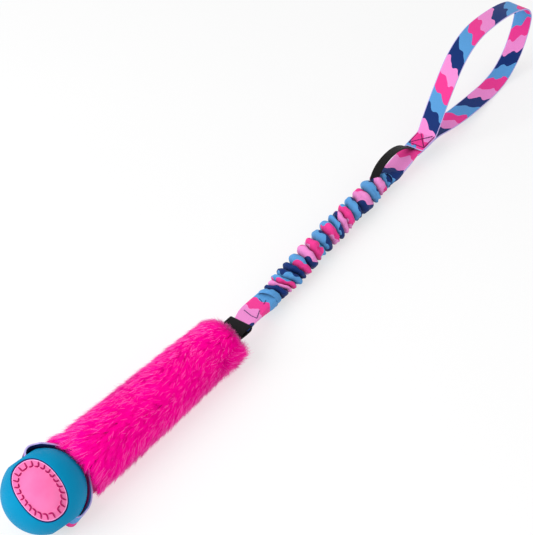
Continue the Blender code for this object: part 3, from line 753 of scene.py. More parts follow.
# Where the backing turns in to its far end, in millimetres along its outline
TURN_IN = 146
# Half the width and half the height of the slit that the band comes out of
SLIT = (11, 1.6)
# How far the pile at the mouth is kept clear of the ball's skin, in millimetres
FRINGE_CLEAR = 1.5


def fur_radius(x):
    """Radius that the pile stands out to, in millimetres."""
    return mix(MOUTH_RADIUS, END_RADIUS, (x - FUR_MOUTH) / FUR_LENGTH)


def fur_axis(x):
    """Height of the tube's axis, in millimetres."""
    return fur_radius(x) - PRESSED


def backing_outline():
    """The backing's outline as (x, radius), from the mouth to the middle of the far end."""
    outline = [(x, fur_radius(x) - PILE_DEPTH) for x in np.linspace(FUR_MOUTH + 0.9, 189, 60)]
    shoulder = 8.5
    centre_x = FUR_END - 7 - shoulder
    centre_r = fur_radius(centre_x) - PILE_DEPTH - shoulder
    for step in range(1, 13):
        angle = math.radians(90 * step / 12)
        outline.append((centre_x + shoulder * math.sin(angle), centre_r + shoulder * math.cos(angle)))
    return outline + [(centre_x + shoulder, radius) for radius in (6.4, 4.0, 1.6)]


BACKING = np.array(backing_outline())
BACKING_RUN = run_along(BACKING)


def make_backing():
    """The knitted tube under the pile, hollow at its mouth and closed round the band."""
    outline = backing_outline()
    # Its inside runs from the lip at the mouth almost to the band, and ends at a point on the axis
    lip = [(FUR_MOUTH + 0.4, outline[0][1] - 1.2)]
    inner = [(x, max(radius - BACKING_THICKNESS, 8)) for x, radius in outline if x < 186]
    rows = [(180.0, 1.0)] + list(reversed(lip + inner)) + outline
    rings = []
    around = [math.tau * j / 72 for j in range(72)]
    for x, radius in rows:
        rings.append([at_fur(x, radius * math.cos(a), max(fur_axis(x) + radius * math.sin(a), 1.2))
                      for a in around])
    backing = loft("fur_backing", rings, backing_knit)
    ride_as(backing, "fur", "fur_sleeve", "fur_sleeve")


def read_backing(along):
    """Places along the toy and radii of the backing, at lengths along its outline."""
    return [np.interp(along, BACKING_RUN, BACKING[:, k]) for k in (0, 1)]


def on_backing(along, angle):
    """Places on the backing in millimetres from the ball's foot, and the directions out of it, back
    to the mouth and across both, at lengths along its outline and angles round it."""
    x, radius = read_backing(along)
    behind = np.clip(along - 0.5, 0, BACKING_RUN[-1] - 1)
    ahead = np.stack(read_backing(behind + 1), 1) - np.stack(read_backing(behind), 1)
    ahead /= np.linalg.norm(ahead, axis=1, keepdims=True)
    round_y, round_z = np.cos(angle), np.sin(angle)
    place = np.stack([x, radius * round_y, fur_axis(x) + radius * round_z], 1)
    out = np.stack([-ahead[:, 1], ahead[:, 0] * round_y, ahead[:, 0] * round_z], 1)
    back = -np.stack([ahead[:, 0], ahead[:, 1] * round_y, ahead[:, 1] * round_z], 1)
    return place, out, back, np.cross(out, back)


def near_side(angle, middle, spread):
    """1 along one side of the tube, given in degrees, and less and less on both sides of it."""
    apart = np.remainder(np.degrees(angle) - middle + 180, 360) - 180
    return np.exp(-(apart / spread) ** 2)


def scatter_roots(chance, low, high, count):
    """Where fibres are rooted: lengths along the backing's outline and angles round it."""
    along = chance.uniform(low, high, count * 2)
    if low == 0:
        # The rim is sewn more densely
        along[:count // 4] = chance.uniform(0, 5, count // 4)
    keep = chance.uniform(0, 1, count * 2) < read_backing(along)[1] / BACKING[:, 1].max()
    along = along[keep][:count]
    angle = chance.uniform(0, math.tau, len(along))
    # None is rooted in the slit
    radius = read_backing(along)[1]
    slit = ((along > TURN_IN) & (np.abs(radius * np.cos(angle)) < SLIT[0])
            & (np.abs(radius * np.sin(angle)) < SLIT[1]))
    return along[~slit], angle[~slit]


def gather_tufts(chance, along, angle):
    """Give each fibre the tuft of its own cell in a jittered grid: the tuft's place on the backing,
    and how it is turned, shaded and lifted."""
    row = np.floor(along / TUFT_CELL)
    column = np.floor(angle / math.tau * TUFTS_ROUND)
    # Two primes give each cell a number of its own
    tufts, own = np.unique((row * 7919 + column * 104729).astype(np.int64), return_inverse=True)
    jitter = chance.uniform(0.15, 0.85, (len(tufts), 2))[own]
    turn = chance.normal(0, 0.2, len(tufts))[own]
    shade = chance.uniform(0, 1, len(tufts))[own]
    lift = chance.normal(0, 0.07, len(tufts))[own]
    middle = np.clip((row + jitter[:, 0]) * TUFT_CELL, 0, BACKING_RUN[-1])
    place = on_backing(middle, (column + jitter[:, 1]) / TUFTS_ROUND * math.tau)[0]
    return place, turn, shade, lift


def fibre_points(chance, root, knee, tip, out):
    """Seven points for each fibre, on a curve drawn from root to tip by its knee: a triangle at the
    root, one halfway and the tip."""
    halfway = root * 0.25 + knee * 0.5 + tip * 0.25
    width = FIBRE_WIDTH * chance.uniform(0.75, 1.25, len(root))[:, None]
    spin = chance.uniform(0, math.tau, len(root))
    corners = []
    for start, end, share in ((root, halfway, 1.0), (halfway, tip, 0.85)):
        tangent = end - start
        tangent /= np.linalg.norm(tangent, axis=1, keepdims=True)
        flat = np.cross(tangent, out)
        flat /= np.linalg.norm(flat, axis=1, keepdims=True)
        up = np.cross(tangent, flat)
        for corner in range(3):
            a = (spin + math.tau * corner / 3)[:, None]
            corners.append(start + width / 2 * share * (flat * np.cos(a) + up * np.sin(a)))
    points = np.stack(corners + [tip], 1)
    # Those under the tube are pressed flat on the floor
    points[:, :, 2] = np.maximum(points[:, :, 2], 0.15 + 0.5 * chance.uniform(0, 1, (len(root), 1)))
    return points


def clear_of_ball(points):
    """Lay fibres over the ball, clear of its stitch marks as it turns."""
    middle = np.array([0, 0, BALL_RADIUS])
    apart = np.linalg.norm(points - middle, axis=2, keepdims=True)
    return middle + (points - middle) * np.maximum(1, (BALL_RADIUS + FRINGE_CLEAR) / apart)


def fibre_mesh(name, points):
    """Mesh of three-sided fibres, from their seven points each in millimetres."""
    quads = [(0, 1, 4, 3), (1, 2, 5, 4), (2, 0, 3, 5)]
    triangles = [(3, 4, 6), (4, 5, 6), (5, 3, 6), (2, 1, 0)]
    base = (np.arange(len(points)) * 7)[:, None, None]
    corners = np.concatenate([(base + np.array(faces)).reshape(-1) for faces in (quads, triangles)])
    sizes = np.repeat([4, 3], [len(points) * len(quads), len(points) * len(triangles)])
    world = points.reshape(-1, 3) * MM + np.array(BALL_FOOT)
    mesh = bpy.data.meshes.new(name)
    mesh.vertices.add(len(world))
    mesh.vertices.foreach_set("co", world.ravel())
    mesh.loops.add(len(corners))
    mesh.loops.foreach_set("vertex_index", corners)
    mesh.polygons.add(len(sizes))
    mesh.polygons.foreach_set("loop_start", np.concatenate([[0], np.cumsum(sizes)[:-1]]))
    mesh.update(calc_edges=True)
    mesh.validate()
    return mesh


def shade_with_tube(mesh, out):
    """Shade fibres mostly with the tube that they lie on, as a fine pile does."""
    own = np.empty(len(mesh.vertices) * 3)
    mesh.vertices.foreach_get("normal", own)
    soft = 0.8 * np.repeat(out, 7, axis=0) + 0.4 * own.reshape(-1, 3)
    soft /= np.linalg.norm(soft, axis=1, keepdims=True)
    mesh.normals_split_custom_set_from_vertices(soft.tolist())


def make_pile(name, low, high, count, seed):
    """Part of the pile: fibres that lie towards the ball, gathered in tufts. low and high are the
    stretch of the outline, in millimetres of its own length, that they are rooted in."""
    chance = np.random.default_rng(seed)
    along, angle = scatter_roots(chance, low, high, count)
    count = len(along)
    tuft, tuft_turn, tuft_shade, tuft_lift = gather_tufts(chance, along, angle)
    root, out, back, side = on_backing(along, angle)
    gather = tuft - root
    # A slow swirl turns the lie of the whole pile by up to 26 degrees
    swirl = 0.45 * np.sin(along / 17 + 1.3 * np.sin(angle)) * np.cos(2 * angle + along / 41)
    turn = swirl + tuft_turn + chance.normal(0, 0.12, count)
    lie = back * np.cos(turn)[:, None] + side * np.sin(turn)[:, None]
    # At the far end it is brushed towards the handle along one side
    away = near_side(angle, 188, 30) * np.clip((along - 132) / 12, 0, 1)
    lie = lie * (1 - away)[:, None] + (0.1 * out - 0.95 * back) * away[:, None]
    # It is longest where it hangs over the mouth, but for one side, and shortest round the band
    fringe = 0.5 + 0.35 * near_side(angle, 100.27, 40.51) - 0.6 * near_side(angle, 228, 32)
    trim = (1 + fringe * np.clip(1 - along / 10, 0, 1) - 0.3 * np.clip((along - TURN_IN) / 14, 0, 1)
            + 0.35 * away)
    long = (FIBRE_LENGTH * trim * chance.uniform(0.78, 1.16, count))[:, None]
    # The rim lies flat over the ball's strap, whose two sides hold it open
    held_open = np.cos(angle - BALL_ROLL) ** 2
    droop = np.clip((along - 1) / 14, 0.25 + 0.6 * held_open, 1)
    # Paler guard hairs stand off the rest, and their paleness is painted rim light: most of them lie
    # along the tube's two sides that are seen edge-on, more along the lower side, and fewest on the side
    # faced square on
    rim_light_guard_share = 0.02 + 0.11 * np.sin(angle - FACING) ** 2 + 0.4 * near_side(angle, 214, 13)
    rim_lit_guard = chance.uniform(0, 1, count) < rim_light_guard_share
    rise = (droop * (0.72 + 0.24 * rim_lit_guard + tuft_lift + chance.normal(0, 0.06, count)))[:, None]
    knee = root + long * (0.45 * rise * out + 0.28 * lie) + 0.16 * gather
    tip = knee + long * (0.12 * rise * out + 0.6 * lie) + 0.3 * gather
    points = fibre_points(chance, root, knee, tip, out)
    mesh = fibre_mesh(name, clear_of_ball(points) if low == 0 else points)
    # Painted shade: tufts are darkened in a band beside the pale hairs of the lower side
    tuft_shade = tuft_shade * (1 - 0.9 * near_side(angle, 196, 8))
    # Guard hairs take the palest value, for their painted rim light
    shade = np.where(rim_lit_guard, 1, 0.5 * tuft_shade + 0.35 * chance.uniform(0, 1, count))
    for label, values in (("along_fibre", np.tile([0, 0, 0, 0.5, 0.5, 0.5, 1], count)),
                          ("tuft_shade", np.repeat(shade, 7))):
        layer = mesh.attributes.new(label, "FLOAT", "POINT")
        layer.data.foreach_set("value", values.astype(np.float32))
    pile = piece(name, mesh, magenta_pile)
    shade_with_tube(mesh, out)
    if low == 0:
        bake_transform(pile)
        dress(pile, "fur_sleeve")
    else:
        ride_as(pile, "fur", "fur_sleeve")


# Black band, foam and cord

BAND_FOLD = 26.0
BAND_REACH = 222.5
# Half the height that the band's fold opens to, round the strap end that is sewn into it
FOLD_OPENING = 2.6
# Where the foam roll starts along the toy, and its length, in millimetres
FOAM_START = FUR_MOUTH + 18
FOAM_LENGTH = 128
FOAM_RADIUS = 14.4
CORD_RADIUS = 4.5


def core_path():
    """The black webbing's path and crosswise directions, from the mouth to its folded end."""
    start_x = 41.6
    level_x = FUR_END - BAND_FOLD
    turn_x = BAND_REACH - WEBBING_THICKNESS / 2 - FOLD_OPENING

    def apart(x):
        return mix((WEBBING_THICKNESS + STRAP_GAP) / 2, FOLD_OPENING, ease((x - 203) / 11))

    sloping = [mix(start_x, level_x, i / 36) for i in range(36)]
    lower = [mix(level_x, turn_x, i / 9) for i in range(1, 9)]
    upper = [mix(turn_x, BAND_END - BAND_FOLD, i / 8) for i in range(1, 9)]
    path = [(x, fur_axis(x)) for x in sloping] + [(x, BAND_HEIGHT - apart(x)) for x in lower]
    for i in range(13):
        angle = math.radians(-90 + 180 * i / 12)
        path.append((turn_x + FOLD_OPENING * math.cos(angle),
                     BAND_HEIGHT + FOLD_OPENING * math.sin(angle)))
    path += [(x, BAND_HEIGHT + apart(x)) for x in upper]
    across = []
    for x, _ in path:
        along = (x - start_x) / (level_x - start_x)
        twist = (BALL_ROLL - math.radians(90)) * (1 - ease((along - 0.5) / 0.8 + 0.5))
        lean = TUG_BEND * ease((x - FUR_END) / (BAND_END - FUR_END))
        across.append(Matrix.Rotation(twist, 3, "X") @ Vector((-math.sin(lean), math.cos(lean), 0)))
    return [at_fur(x, 0, z) for x, z in path], across


def make_band(path, across):
    """The black webbing that runs through the fur tube and shows as a folded band at its end."""
    band = webbing("black_band", path, across, black_webbing, width=WEBBING_WIDTH + 1.4)
    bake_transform(band)
    dress(band, "core_strap", "core_strap")


def make_foam(path, across):
    """The foam roll that fills the fur tube, slit for the black webbing."""
    slope = math.atan((MOUTH_RADIUS - END_RADIUS) / FUR_LENGTH)
    lie = (Matrix.Translation(at_fur(FOAM_START, 0, fur_axis(FOAM_START)))
           @ Matrix.Rotation(math.radians(90) + slope, 4, "Y"))
    # Each end has a groove 2 mm deep inside its rim
    near_end = [(0.5, 0), (7, 0)] + [(FOAM_RADIUS - deep, deep) for deep in (2, 1, 0.268, 0)]
    side = [(FOAM_RADIUS, height) for height in range(8, FOAM_LENGTH - 4, 8)]
    far_end = [(radius, FOAM_LENGTH - height) for radius, height in reversed(near_end)]
    foam = turned("foam_roll", near_end + side + far_end, 48, lie, white_foam)
    slot = webbing("foam_slot", path, across, white_foam, WEBBING_WIDTH + 0.6, WEBBING_THICKNESS + 0.6)
    carve(foam, [slot])
    ride_as(foam, "fur", "core_padding", "core_padding")


def make_cord():
    """The elastic cord inside the gathered sleeve."""
    places = np.linspace(SLEEVE_START, SLEEVE_END, 61)
    centre = [at_tug(x, read_off(BOW, x), SLEEVE_HEIGHT) for x in places]
    cord = tube("elastic_cord", [centre], CORD_RADIUS * MM, black_elastic, 16)
    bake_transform(cord)
    dress(cord, "bungee_cord", "bungee_cord")


# Gathered sleeve and its flat ends

# Creases of the gather along its upper left and its lower right, in millimetres
CREASES = [(261.8, 268), (272.9, 278.8), (277.5, 288), (284, 294.5), (291.9, 301.5), (302.2, 310.3),
           (312.2, 316), (327.3, 325), (340.2, 338), (352.1, 354), (367.2, 365.7), (382.8, 376.9),
           (389.9, 385), (399.8, 393.5), (411.1, 406.3), (424.5, 418.3), (441.7, 441), (457.9, 453.3),
           (468.5, 466), (477.5, 475), (486, 484)]
# Print band at each ruffle's middle, and the bands it gains over 20 mm to the right.
# 0 to 1 is pale pink, then navy, light blue and hot pink
RUFFLE_PRINT = [(2.35, 0), (1.5, 0), (0.3, -0.3), (3.0, 0.3), (2.0, 0.3), (1.4, 0), (3.05, 1.0),
                (0.7, 0.9), (3.3, -0.7), (1.9, -0.6), (3.45, 1.1), (2.05, -0.6), (0.55, -0.7),
                (3.5, 0.8), (2.05, -0.4), (0.65, 1.1), (2.3, 0), (0.4, -0.6), (2.0, 0), (1.3, 0)]
RUFFLES = len(RUFFLE_PRINT)
# How far each ruffle leans towards the ball at its top, in millimetres
LEAN = 5.0
# Radius at the crown of each ruffle
CROWNS = [9.8, 11.2, 10.6, 11.4, 11.9, 12.0, 12.4, 12.5, 12.2, 12.3, 12.4, 12.2, 11.8, 12.1, 12.3, 12.5,
          12.6, 11.2, 9.8, 8.8]
# Girth and thickness of the sleeve's cloth, and how much of it each millimetre of gather takes up
SLEEVE_GIRTH = 66
CLOTH = 1.0
GATHER = 1.6
SLEEVE_SIDES = 96
# Height and width of a flat end where it has swollen into the gather, and the radius that the
# sleeve starts at over it
SWOLLEN = (12.5, 19)
START_RADIUS = 9.8
# Each flat end: its thin and thick end as (along, height), and the share of it that stays flat
LOWER_END = ((BAND_END - 1.5, BAND_HEIGHT), (SLEEVE_START + 9, SLEEVE_HEIGHT), 0.35)
UPPER_END = ((UPPER_TAB_END - 0.3, TAB_HEIGHT), (SLEEVE_END - 2, SLEEVE_HEIGHT), 0.6)
# Stitch lines on the lower end, along and across
LOWER_STITCHES = [[(236.8, 6.2), (233.8, -2.7), (233.9, -8.6)],
                  [(244.9, -5.3), (239.8, -7), (233.9, -8.6)],
                  [(257.4, 3.2), (255.2, -1.8)], [(259, -3), (253.4, -4.3)]]


def wander(a, b, c):
    """Smooth noise from -1 to 1."""
    return noise.noise(Vector((a, b, c)))


def round_noise(angle, reach, seed):
    """Smooth noise from -1 to 1 that closes round the sleeve, with more lobes at a larger reach."""
    return wander(reach * math.cos(angle) + seed * 7.3, reach * math.sin(angle), seed * 3.1)


def crease(k, angle):
    """Where a crease lies along the sleeve, in millimetres: it leans and wanders round it."""
    left, right = CREASES[k]
    drift = 0 if k in (0, RUFFLES) else 1.3 * round_noise(angle, 2.2, k + 1)
    lean = LEAN * min(1, k / 3, (RUFFLES - k) / 3)
    return ((left + right) / 2 + (left - right) / 2 * math.cos(angle - LEFT) + drift
            - lean * math.cos(angle - FACING))


def ruffle_hump(share):
    """How full a ruffle stands between its two creases, from 0 to 1."""
    return math.sin(math.pi * min(max(share, 0), 1)) ** 0.62


def ruffle_radius(k, share, angle):
    """How far a ruffle stands out, in millimetres: round lobes, pinched creases and puckers."""
    hump = ruffle_hump(share)
    width = crease(k + 1, angle) - crease(k, angle)
    crown = CROWNS[k] - 1.6 * ease((9 - width) / 6) + 0.9 * round_noise(angle, 1.7, k + 40)
    low = 4.9 + 0.3 * round_noise(angle, 2.1, k + 80)
    out = mix(low, crown, hump)
    # On the lower right most ruffles fold once more
    toward = 0.5 - 0.5 * math.cos(angle - LEFT)
    split = max(0, round_noise(angle, 1.0, k + 120) + 0.6 * toward - 0.15) * ease((width - 7) / 4)
    middle = 0.5 + 0.14 * round_noise(angle, 1.2, k + 160)
    out -= 4.6 * split * math.exp(-((share - middle) / 0.17) ** 2)
    pucker = wander(k * 6.1 + 70, 3.4 * math.cos(angle) + 1.5 * share, 3.4 * math.sin(angle) - share)
    folds = wander(2.8 * share + k * 4.7, 1.8 * math.cos(angle) + 31, 1.8 * math.sin(angle))
    return max(out + (0.7 * pucker + 0.8 * folds) * hump, 4.7)


def strap_end_place(x, thin, thick, flat_share):
    """Centre height, thickness, width and swell of a flat end at x, between its two ends."""
    share = (x - thin[0]) / (thick[0] - thin[0])
    swell = ease((share - flat_share) / (1 - flat_share))
    # The strap is doubled soon after its thin end, which is also drawn narrower
    layers = mix(1, 2, ease(share / 0.12))
    width = WEBBING_WIDTH * mix(0.84, 1, ease(share * 2.2))
    return (mix(thin[1], thick[1], ease(share)), mix(WEBBING_THICKNESS * layers, SWOLLEN[0], swell),
            mix(width, SWOLLEN[1], swell), swell)


def sleeve_height(x):
    """Height of the gather's middle: level along the cord, then rising with the upper strap end."""
    return strap_end_place(x, *UPPER_END)[0] if x > SLEEVE_END - 2 else SLEEVE_HEIGHT


def gather_share(t):
    """Set a ruffle's rings closer together at its creases."""
    return mix(t, (1 - math.cos(math.pi * t)) / 2, 0.7)


def sleeve_ring(k, share):
    """Ring of world points round ruffle k, at a share of the way from its crease to the next."""
    ring = []
    for j in range(SLEEVE_SIDES):
        angle = FACING + math.pi - math.tau * j / SLEEVE_SIDES
        # Each ruffle leans out over its creases
        wide = 0.5 + (share - 0.5) * (1 + 0.12 * ruffle_hump(share))
        x = mix(crease(k, angle), crease(k + 1, angle), wide)
        out = ruffle_radius(k, share, angle)
        if k == 0:
            out = mix(START_RADIUS, out, ease(share * 3))
        flat = 1 - 0.5 * ease((x - 470) / 18)
        z = max(sleeve_height(x) + out * math.sin(angle) * flat, 0.15)
        ring.append(at_tug(x, read_off(BOW, x) + out * math.cos(angle), z))
    return ring


def sleeve_cut(k, share):
    """Cut places round ruffle k in metres, so that its print falls as in the photograph."""
    phase, gain = RUFFLE_PRINT[k]
    used = GATHER * (CREASES[k + 1][0] - CREASES[k][0]) / PRINT_BAND
    row = []
    for j in range(SLEEVE_SIDES + 1):
        across = (0.5 - j / SLEEVE_SIDES) * SLEEVE_GIRTH
        band = phase + gain * across / 20 - used * (share - 0.5)
        row.append(((band * PRINT_BAND - PRINT_SLANT * across) * MM, across * MM))
    return row


def make_sleeve():
    """The gathered sleeve: one length of printed tube, drawn up into ruffles on its cord."""
    steps = 22
    shares = [gather_share(step / steps) for step in range(steps + 1)]
    rings, rows, crease_shade_depths = [], [], []
    for k in range(RUFFLES):
        for share in shares if k == RUFFLES - 1 else shares[:-1]:
            rings.append(sleeve_ring(k, share))
            crease_shade_depths.append(1 - ruffle_hump(share) if k or share > 0.5 else 0.0)
        rows += even_fabric([sleeve_cut(k, share) for share in shares])
    # The same ruffles come back inside, one thickness of the cloth further in
    inside = []
    for ring in reversed(rings):
        centre = sum((Vector(point) for point in ring), Vector()) / SLEEVE_SIDES
        inside.append([point + (centre - point).normalized() * CLOTH * MM for point in ring])
    turn_in, turn_out = (rows[-1][1],) * 2, (rows[0][0],) * 2
    inside_rows = [(second, first) for first, second in reversed(rows)]
    sleeve = loft("gathered_sleeve", rings + inside, printed_sleeve,
                  rows + [turn_in] + inside_rows + [turn_out], closed=True)
    # Painted shade: how deep each point lies in a crease, with the whole inside fully shaded
    crease_shade_depths = np.repeat(crease_shade_depths + [1.0] * len(inside), SLEEVE_SIDES)
    shade = sleeve.data.attributes.new("painted_crease_shade", "FLOAT", "POINT")
    shade.data.foreach_set("value", crease_shade_depths.astype(np.float32))
    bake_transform(sleeve)
    dress(sleeve, "bungee_sleeve", "bungee_sleeve")


def strap_end_section(width, height, squareness):
    """Ring of (across, up) from an ellipse, at squareness 2, to nearly a flat strap."""
    sides = 56
    ring = []
    for i in range(sides):
        across, up = squared_circle(math.tau * (i + 0.5) / sides, squareness)
        ring.append((width / 2 * across, height / 2 * up))
    return ring


def make_strap_end(name, ends, pucker, bands, skew, seed, finish):
    """A flat strap end that swells into the gathered sleeve, with the folds of the gather. bands
    and skew are tables of (place, print band) and (place, bands gained a millimetre across)."""
    rings, rows = [], []
    for step in range(57):
        x = mix(ends[0][0], ends[1][0], step / 56)
        z, height, width, swell = strap_end_place(x, *ends)
        ring, row = [], []
        for across, up in strap_end_section(width, height, mix(9, 2.3, swell)):
            angle = math.atan2(up, across)
            fold = pucker * swell * wander(4.1 * math.cos(angle), 4.1 * math.sin(angle), x / 12 + seed)
            scale = 1 + fold / 10
            ring.append(at_tug(x, read_off(BOW, x) + across * scale, max(z + up * scale, 0.2)))
            band = read_off(bands, x) - read_off(skew, x) * across
            # The selvedge turns in where the strap end swells
            edge = across * mix(0.985, 0.9, ease(swell * 3))
            row.append(((band * PRINT_BAND + PRINT_SLANT * edge) * MM, -edge * MM))
        rings.append(ring)
        rows.append(row + row[:1])
    return loft(name, rings, finish, even_fabric(rows))


def on_lower_end(x, y):
    """World place on the upper face of the lower strap end."""
    z, height, _, _ = strap_end_place(x, *LOWER_END)
    return at_tug(x, y + read_off(BOW, x), z + height / 2)


def make_lower_end():
    """The sewn strap end at the black band, and the stitches across it."""
    lower = make_strap_end("lower_strap_end", LOWER_END, 1.2,
                           [(216, 0.95), (226, 0.75), (244, 0), (256, -1), (264, -1.5)],
                           [(216, 0.06), (226, 0.04), (236, 0.0), (264, 0.0)], 0, printed_sleeve)
    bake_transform(lower)
    dress(lower, "lower_tab", "lower_tab")
    rows = []
    for line in LOWER_STITCHES:
        rows += stitch_row([on_lower_end(x, y) for x, y in line])
    seams = tube("lower_end_stitches", rows, 0.6 * THREAD * MM, navy_thread)
    ride_as(seams, "bungee", "lower_tab")


def make_upper_end():
    """The sewn strap end under the label."""
    upper = make_strap_end("upper_strap_end", UPPER_END, 1.6,
                           [(476, 1.8), (489, 1.0), (511, 0.0), (528, -0.85)],
                           [(476, 0.02), (489, 0.02), (528, 0.01)], 5, printed_strap)
    ride_as(upper, "upper", "upper_tab", "upper_tab")


# Label and handle

# The label in millimetres along the tug, up and across it
LABEL = [(457.5, 19.5, 9.2), (459.5, 23.8, 9.1), (463, 28.4, 8.9), (470, 32.8, 8.6), (480, 35.3, 8.3),
         (492, 35.2, 8.0), (503, 32.6, 7.6), (512, 28.6, 7.2), (520, 23.2, 6.9), (524, 20.8, 6.8),
         (526.5, 20.0, 6.8)]
# The handle strap's two limbs in millimetres from the box stitch: along, across and up
LOWER_LIMB = [(24, -0.4, 17.2), (46, -2, 14.2), (72.3, -4.5, 12), (97.8, -5.5, 9.5), (121.3, -6, 7.4),
              (148, -6, 4.9), (174, -6, 6.2), (193, -6, 13.2), (208.5, -6, 25), (217.8, -6, 41.5),
              (221.5, -6, 55), (221.5, -5.6, 66), (213.5, -5, 76.5)]
UPPER_LIMB = [(199, -4.2, 84.8), (178, -3.3, 91.3), (154.7, -2.6, 95.8), (126.6, -1.5, 98.6),
              (100.8, -0.5, 98.7), (80.1, 0, 94.6), (62, 0, 86.3), (49, 0, 75), (37.6, 0, 61.3),
              (27.5, 0, 47.9), (18.5, 0, 34.4)]
ACROSS = Vector((-math.sin(TUG_BEND), math.cos(TUG_BEND), 0))
# Print bands along the handle from its fold, as the borders fall on its two limbs
HANDLE_BANDS = [(0, 3.05), (17, 2.2), (30, 1.5), (50.9, 1), (73, 0), (88, -1), (113.6, -2), (137.2, -3),
                (164, -4), (190.1, -5), (210.5, -6), (227.9, -7), (245.2, -8), (261.7, -9), (274, -9.5),
                (286, -9), (295, -8.5), (303.4, -9), (334.3, -10), (366, -11), (393.5, -12),
                (414.3, -13), (437, -14), (455.3, -15), (470.8, -16), (488.3, -17), (504.9, -18),
                (520.6, -19), (536, -20), (555, -21)]
# How far the webbing is turned about its own length, in degrees
HANDLE_TWIST = [(0, 0), (35, 0), (70, 14), (100, 20), (225, 22), (258, 14), (284, 0), (310, -11),
                (360, -13), (420, -18), (500, -20), (530, -4), (554, 0)]
# Corners of the box stitch in millimetres from its middle, along and across
BOX_STITCH = [(-13, -8.6), (-13, 8.6), (12.5, 8.6), (12.5, -8.6)]


def make_label():
    """The bare woven label, sewn down at both ends and bowed up between them."""
    path = curve_through([at_tug(x, y - 3.9 + 0.5 * read_off(BOW, x), z) for x, z, y in LABEL], 5)
    label = webbing("woven_label", path, ACROSS, black_ribbon, width=9, thickness=0.8)
    ride_as(label, "upper", "label", "label")


def handle_path():
    """The handle strap's path, out along the floor, round the loop and back over its own start."""
    step_up = WEBBING_THICKNESS + STRAP_GAP
    top = STITCH_HEIGHT + step_up
    path = [(-15, 1.4, TAB_HEIGHT), (-9, 0.8, mix(TAB_HEIGHT, STITCH_HEIGHT, 0.6)),
            (0, 0.1, STITCH_HEIGHT), (9, 0, STITCH_HEIGHT)]
    path += LOWER_LIMB + UPPER_LIMB
    path += [(9 + step_up, 0, top + step_up), (9 - step_up, 0, top), (0, 0, top), (-17.5, 0, top - 0.2)]
    places = curve_through([Vector((STITCH_AT + along, across, up)) for along, across, up in path], 9)
    return [at_tug(*place) for place in places]


def make_handle():
    """The handle strap, with its box stitch and cross."""
    path = handle_path()
    across = []
    for i, cut in enumerate(run_along(path) / MM):
        face = math.radians(read_off(HANDLE_TWIST, cut))
        across.append(Matrix.Rotation(face, 3, direction(path, i)) @ ACROSS)
    # The strap starts a little inside the upper strap end
    lead = [at_tug(x, read_off(BOW, x), TAB_HEIGHT) for x in (522, 524, 526, 527.5)]
    started = HANDLE_HINGE_AT - 522
    strap = webbing("handle_webbing", lead + path, [ACROSS] * len(lead) + across, printed_strap,
                    width=20.5, bands=lambda cut: read_off(HANDLE_BANDS, cut - started))
    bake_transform(strap)
    dress(strap, "handle_strap", "handle_strap")
    top = STITCH_HEIGHT + WEBBING_THICKNESS + STRAP_GAP + WEBBING_THICKNESS / 2
    corners = [at_tug(STITCH_AT + x, y, top) for x, y in BOX_STITCH]
    rows = stitch_row(corners + corners[:1], 3.2)
    rows += stitch_row(corners[::2], 3.2) + stitch_row(corners[1::2], 3.2)
    box = tube("box_stitch", rows, 0.8 * THREAD * MM, plum_thread)
    ride_as(box, "handle", "handle_strap")


# Stage, light and camera

# The softbox's size and place in metres, and its power in watts
SOFTBOX_SIZE = (1.6, 1.2)
SOFTBOX_PLACE = Vector((-1.5, 0.45, 1.35))
SOFTBOX_POWER = 26
# The photograph's camera: its place in metres, the way it looks, and the focal length and the width
# of the photograph in pixels
CAMERA_PLACE = Vector((-0.62586, -0.40520, 0.64194))
CAMERA_AZIMUTH = math.radians(37.73)
CAMERA_DIP = math.radians(41.72)
FOCAL_LENGTH = 1057.874
PHOTO_WIDTH = 533
SENSOR = 36


def make_stage():
    """A pale floor that runs out of sight."""
    bpy.ops.mesh.primitive_plane_add(size=60, location=(0, 0, 0))
    floor = bpy.context.object
    floor.name = "paper_floor"
    floor.data.materials.append(white_paper)


def make_light():
    """Soft studio light: an even white world, and one large softbox over the camera's left."""
    world = bpy.data.worlds.new("studio")
    world.use_nodes = True
    bpy.context.scene.world = world
    tree = world.node_tree
    tree.nodes.clear()
    level = add(tree, "ShaderNodeMapRange", {"Value": white_to_camera(tree), "To Min": 0.7,
                                             "To Max": 1.0})
    glow = add(tree, "ShaderNodeBackground", {"Color": (1, 1, 1, 1), "Strength": level.outputs[0]})
    add(tree, "ShaderNodeOutputWorld", {"Surface": glow.outputs[0]})
    lamp = bpy.data.lights.new("softbox", "AREA")
    lamp.shape = "RECTANGLE"
    lamp.size, lamp.size_y = SOFTBOX_SIZE
    lamp.energy = SOFTBOX_POWER
    softbox = bpy.data.objects.new("softbox", lamp)
    bpy.context.scene.collection.objects.link(softbox)
    softbox.location = SOFTBOX_PLACE
    softbox.rotation_euler = (-SOFTBOX_PLACE).to_track_quat("-Z", "Y").to_euler()


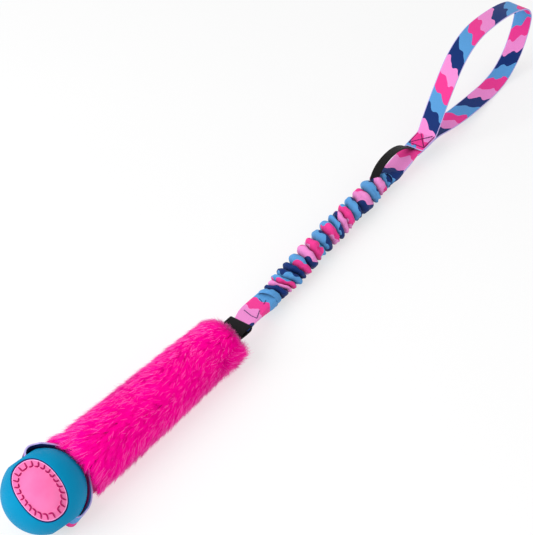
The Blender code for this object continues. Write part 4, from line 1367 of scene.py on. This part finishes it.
def make_camera():
    """The camera at the photograph's viewing angle, fitted to the ball, straps and handle."""
    level = math.cos(CAMERA_DIP)
    view = Vector((level * math.cos(CAMERA_AZIMUTH), level * math.sin(CAMERA_AZIMUTH),
                   -math.sin(CAMERA_DIP)))
    lens = bpy.data.cameras.new("camera")
    lens.sensor_fit = "HORIZONTAL"
    lens.sensor_width = SENSOR
    lens.lens = FOCAL_LENGTH * SENSOR / PHOTO_WIDTH
    lens.clip_start = 0.01
    camera = bpy.data.objects.new("camera", lens)
    bpy.context.scene.collection.objects.link(camera)
    camera.location = CAMERA_PLACE
    camera.rotation_euler = view.to_track_quat("-Z", "Y").to_euler()
    bpy.context.scene.camera = camera


bpy.context.scene.view_settings.view_transform = "Standard"

turquoise_rubber = moulded_rubber("turquoise moulded rubber", "#008ebc", "#0086b4", 0.5, 0.05)
pink_rubber = moulded_rubber("pink moulded rubber", "#f880ba", "#f46aa8", 0.5, 0.2)
crimson_rubber = moulded_rubber("crimson moulded rubber", "#b80a64", "#9c0653", 0.5, 0.15)
# Painted highlight on each panel's rim, and painted shadow in the gap round it
highlight_rubber = moulded_rubber("pale pink rubber painted highlight", "#ffb4e6", "#f9a2dc", 0.45)
gap_shadow_rubber = moulded_rubber("navy rubber painted gap shadow", "#12296b", "#0f225c", 0.55, 0.15)
printed_strap = printed_polyester("printed polyester webbing")
printed_sleeve = printed_polyester("printed polyester tube", selvedge=False)
magenta_pile = acrylic_pile("magenta acrylic pile")
backing_knit = knitted_backing("magenta knitted backing")
black_webbing = plain_yarn("black woven nylon webbing", "#040405", "#17171a", 1.6, 1.3)
black_ribbon = plain_yarn("black woven satin ribbon", "#050405", "#100e10", 0.7, 0.6, 0.6)
black_elastic = plain_yarn("black braided elastic cord", "#0a0a0b", "#2c2c30", 2.2, 2.0)
plum_thread = plain_yarn("plum polyester thread", "#4a1048", "#6d1c60", 0.6, 2)
navy_thread = plain_yarn("navy polyester thread", "#1c1f4d", "#33376e", 0.6, 2)
white_foam = open_cell_foam("white polyurethane foam")
white_paper = paper_floor("matt white paper")

make_camera()
make_light()
make_stage()
make_ball()
make_panel("front_panel", 1, "ball_panel_front")
make_panel("back_panel", -1, "ball_panel_back")
make_ball_strap()
make_backing()
make_pile("pile_at_mouth", 0, 45, 18500, 11)
make_pile("pile_below_middle", 43, 85, 18000, 12)
make_pile("pile_above_middle", 83, 125, 17500, 13)
make_pile("pile_at_end", 123, 171, 19600, 14)
core, core_across = core_path()
make_band(core, core_across)
make_foam(core, core_across)
make_cord()
make_sleeve()
make_lower_end()
make_upper_end()
make_label()
make_handle()
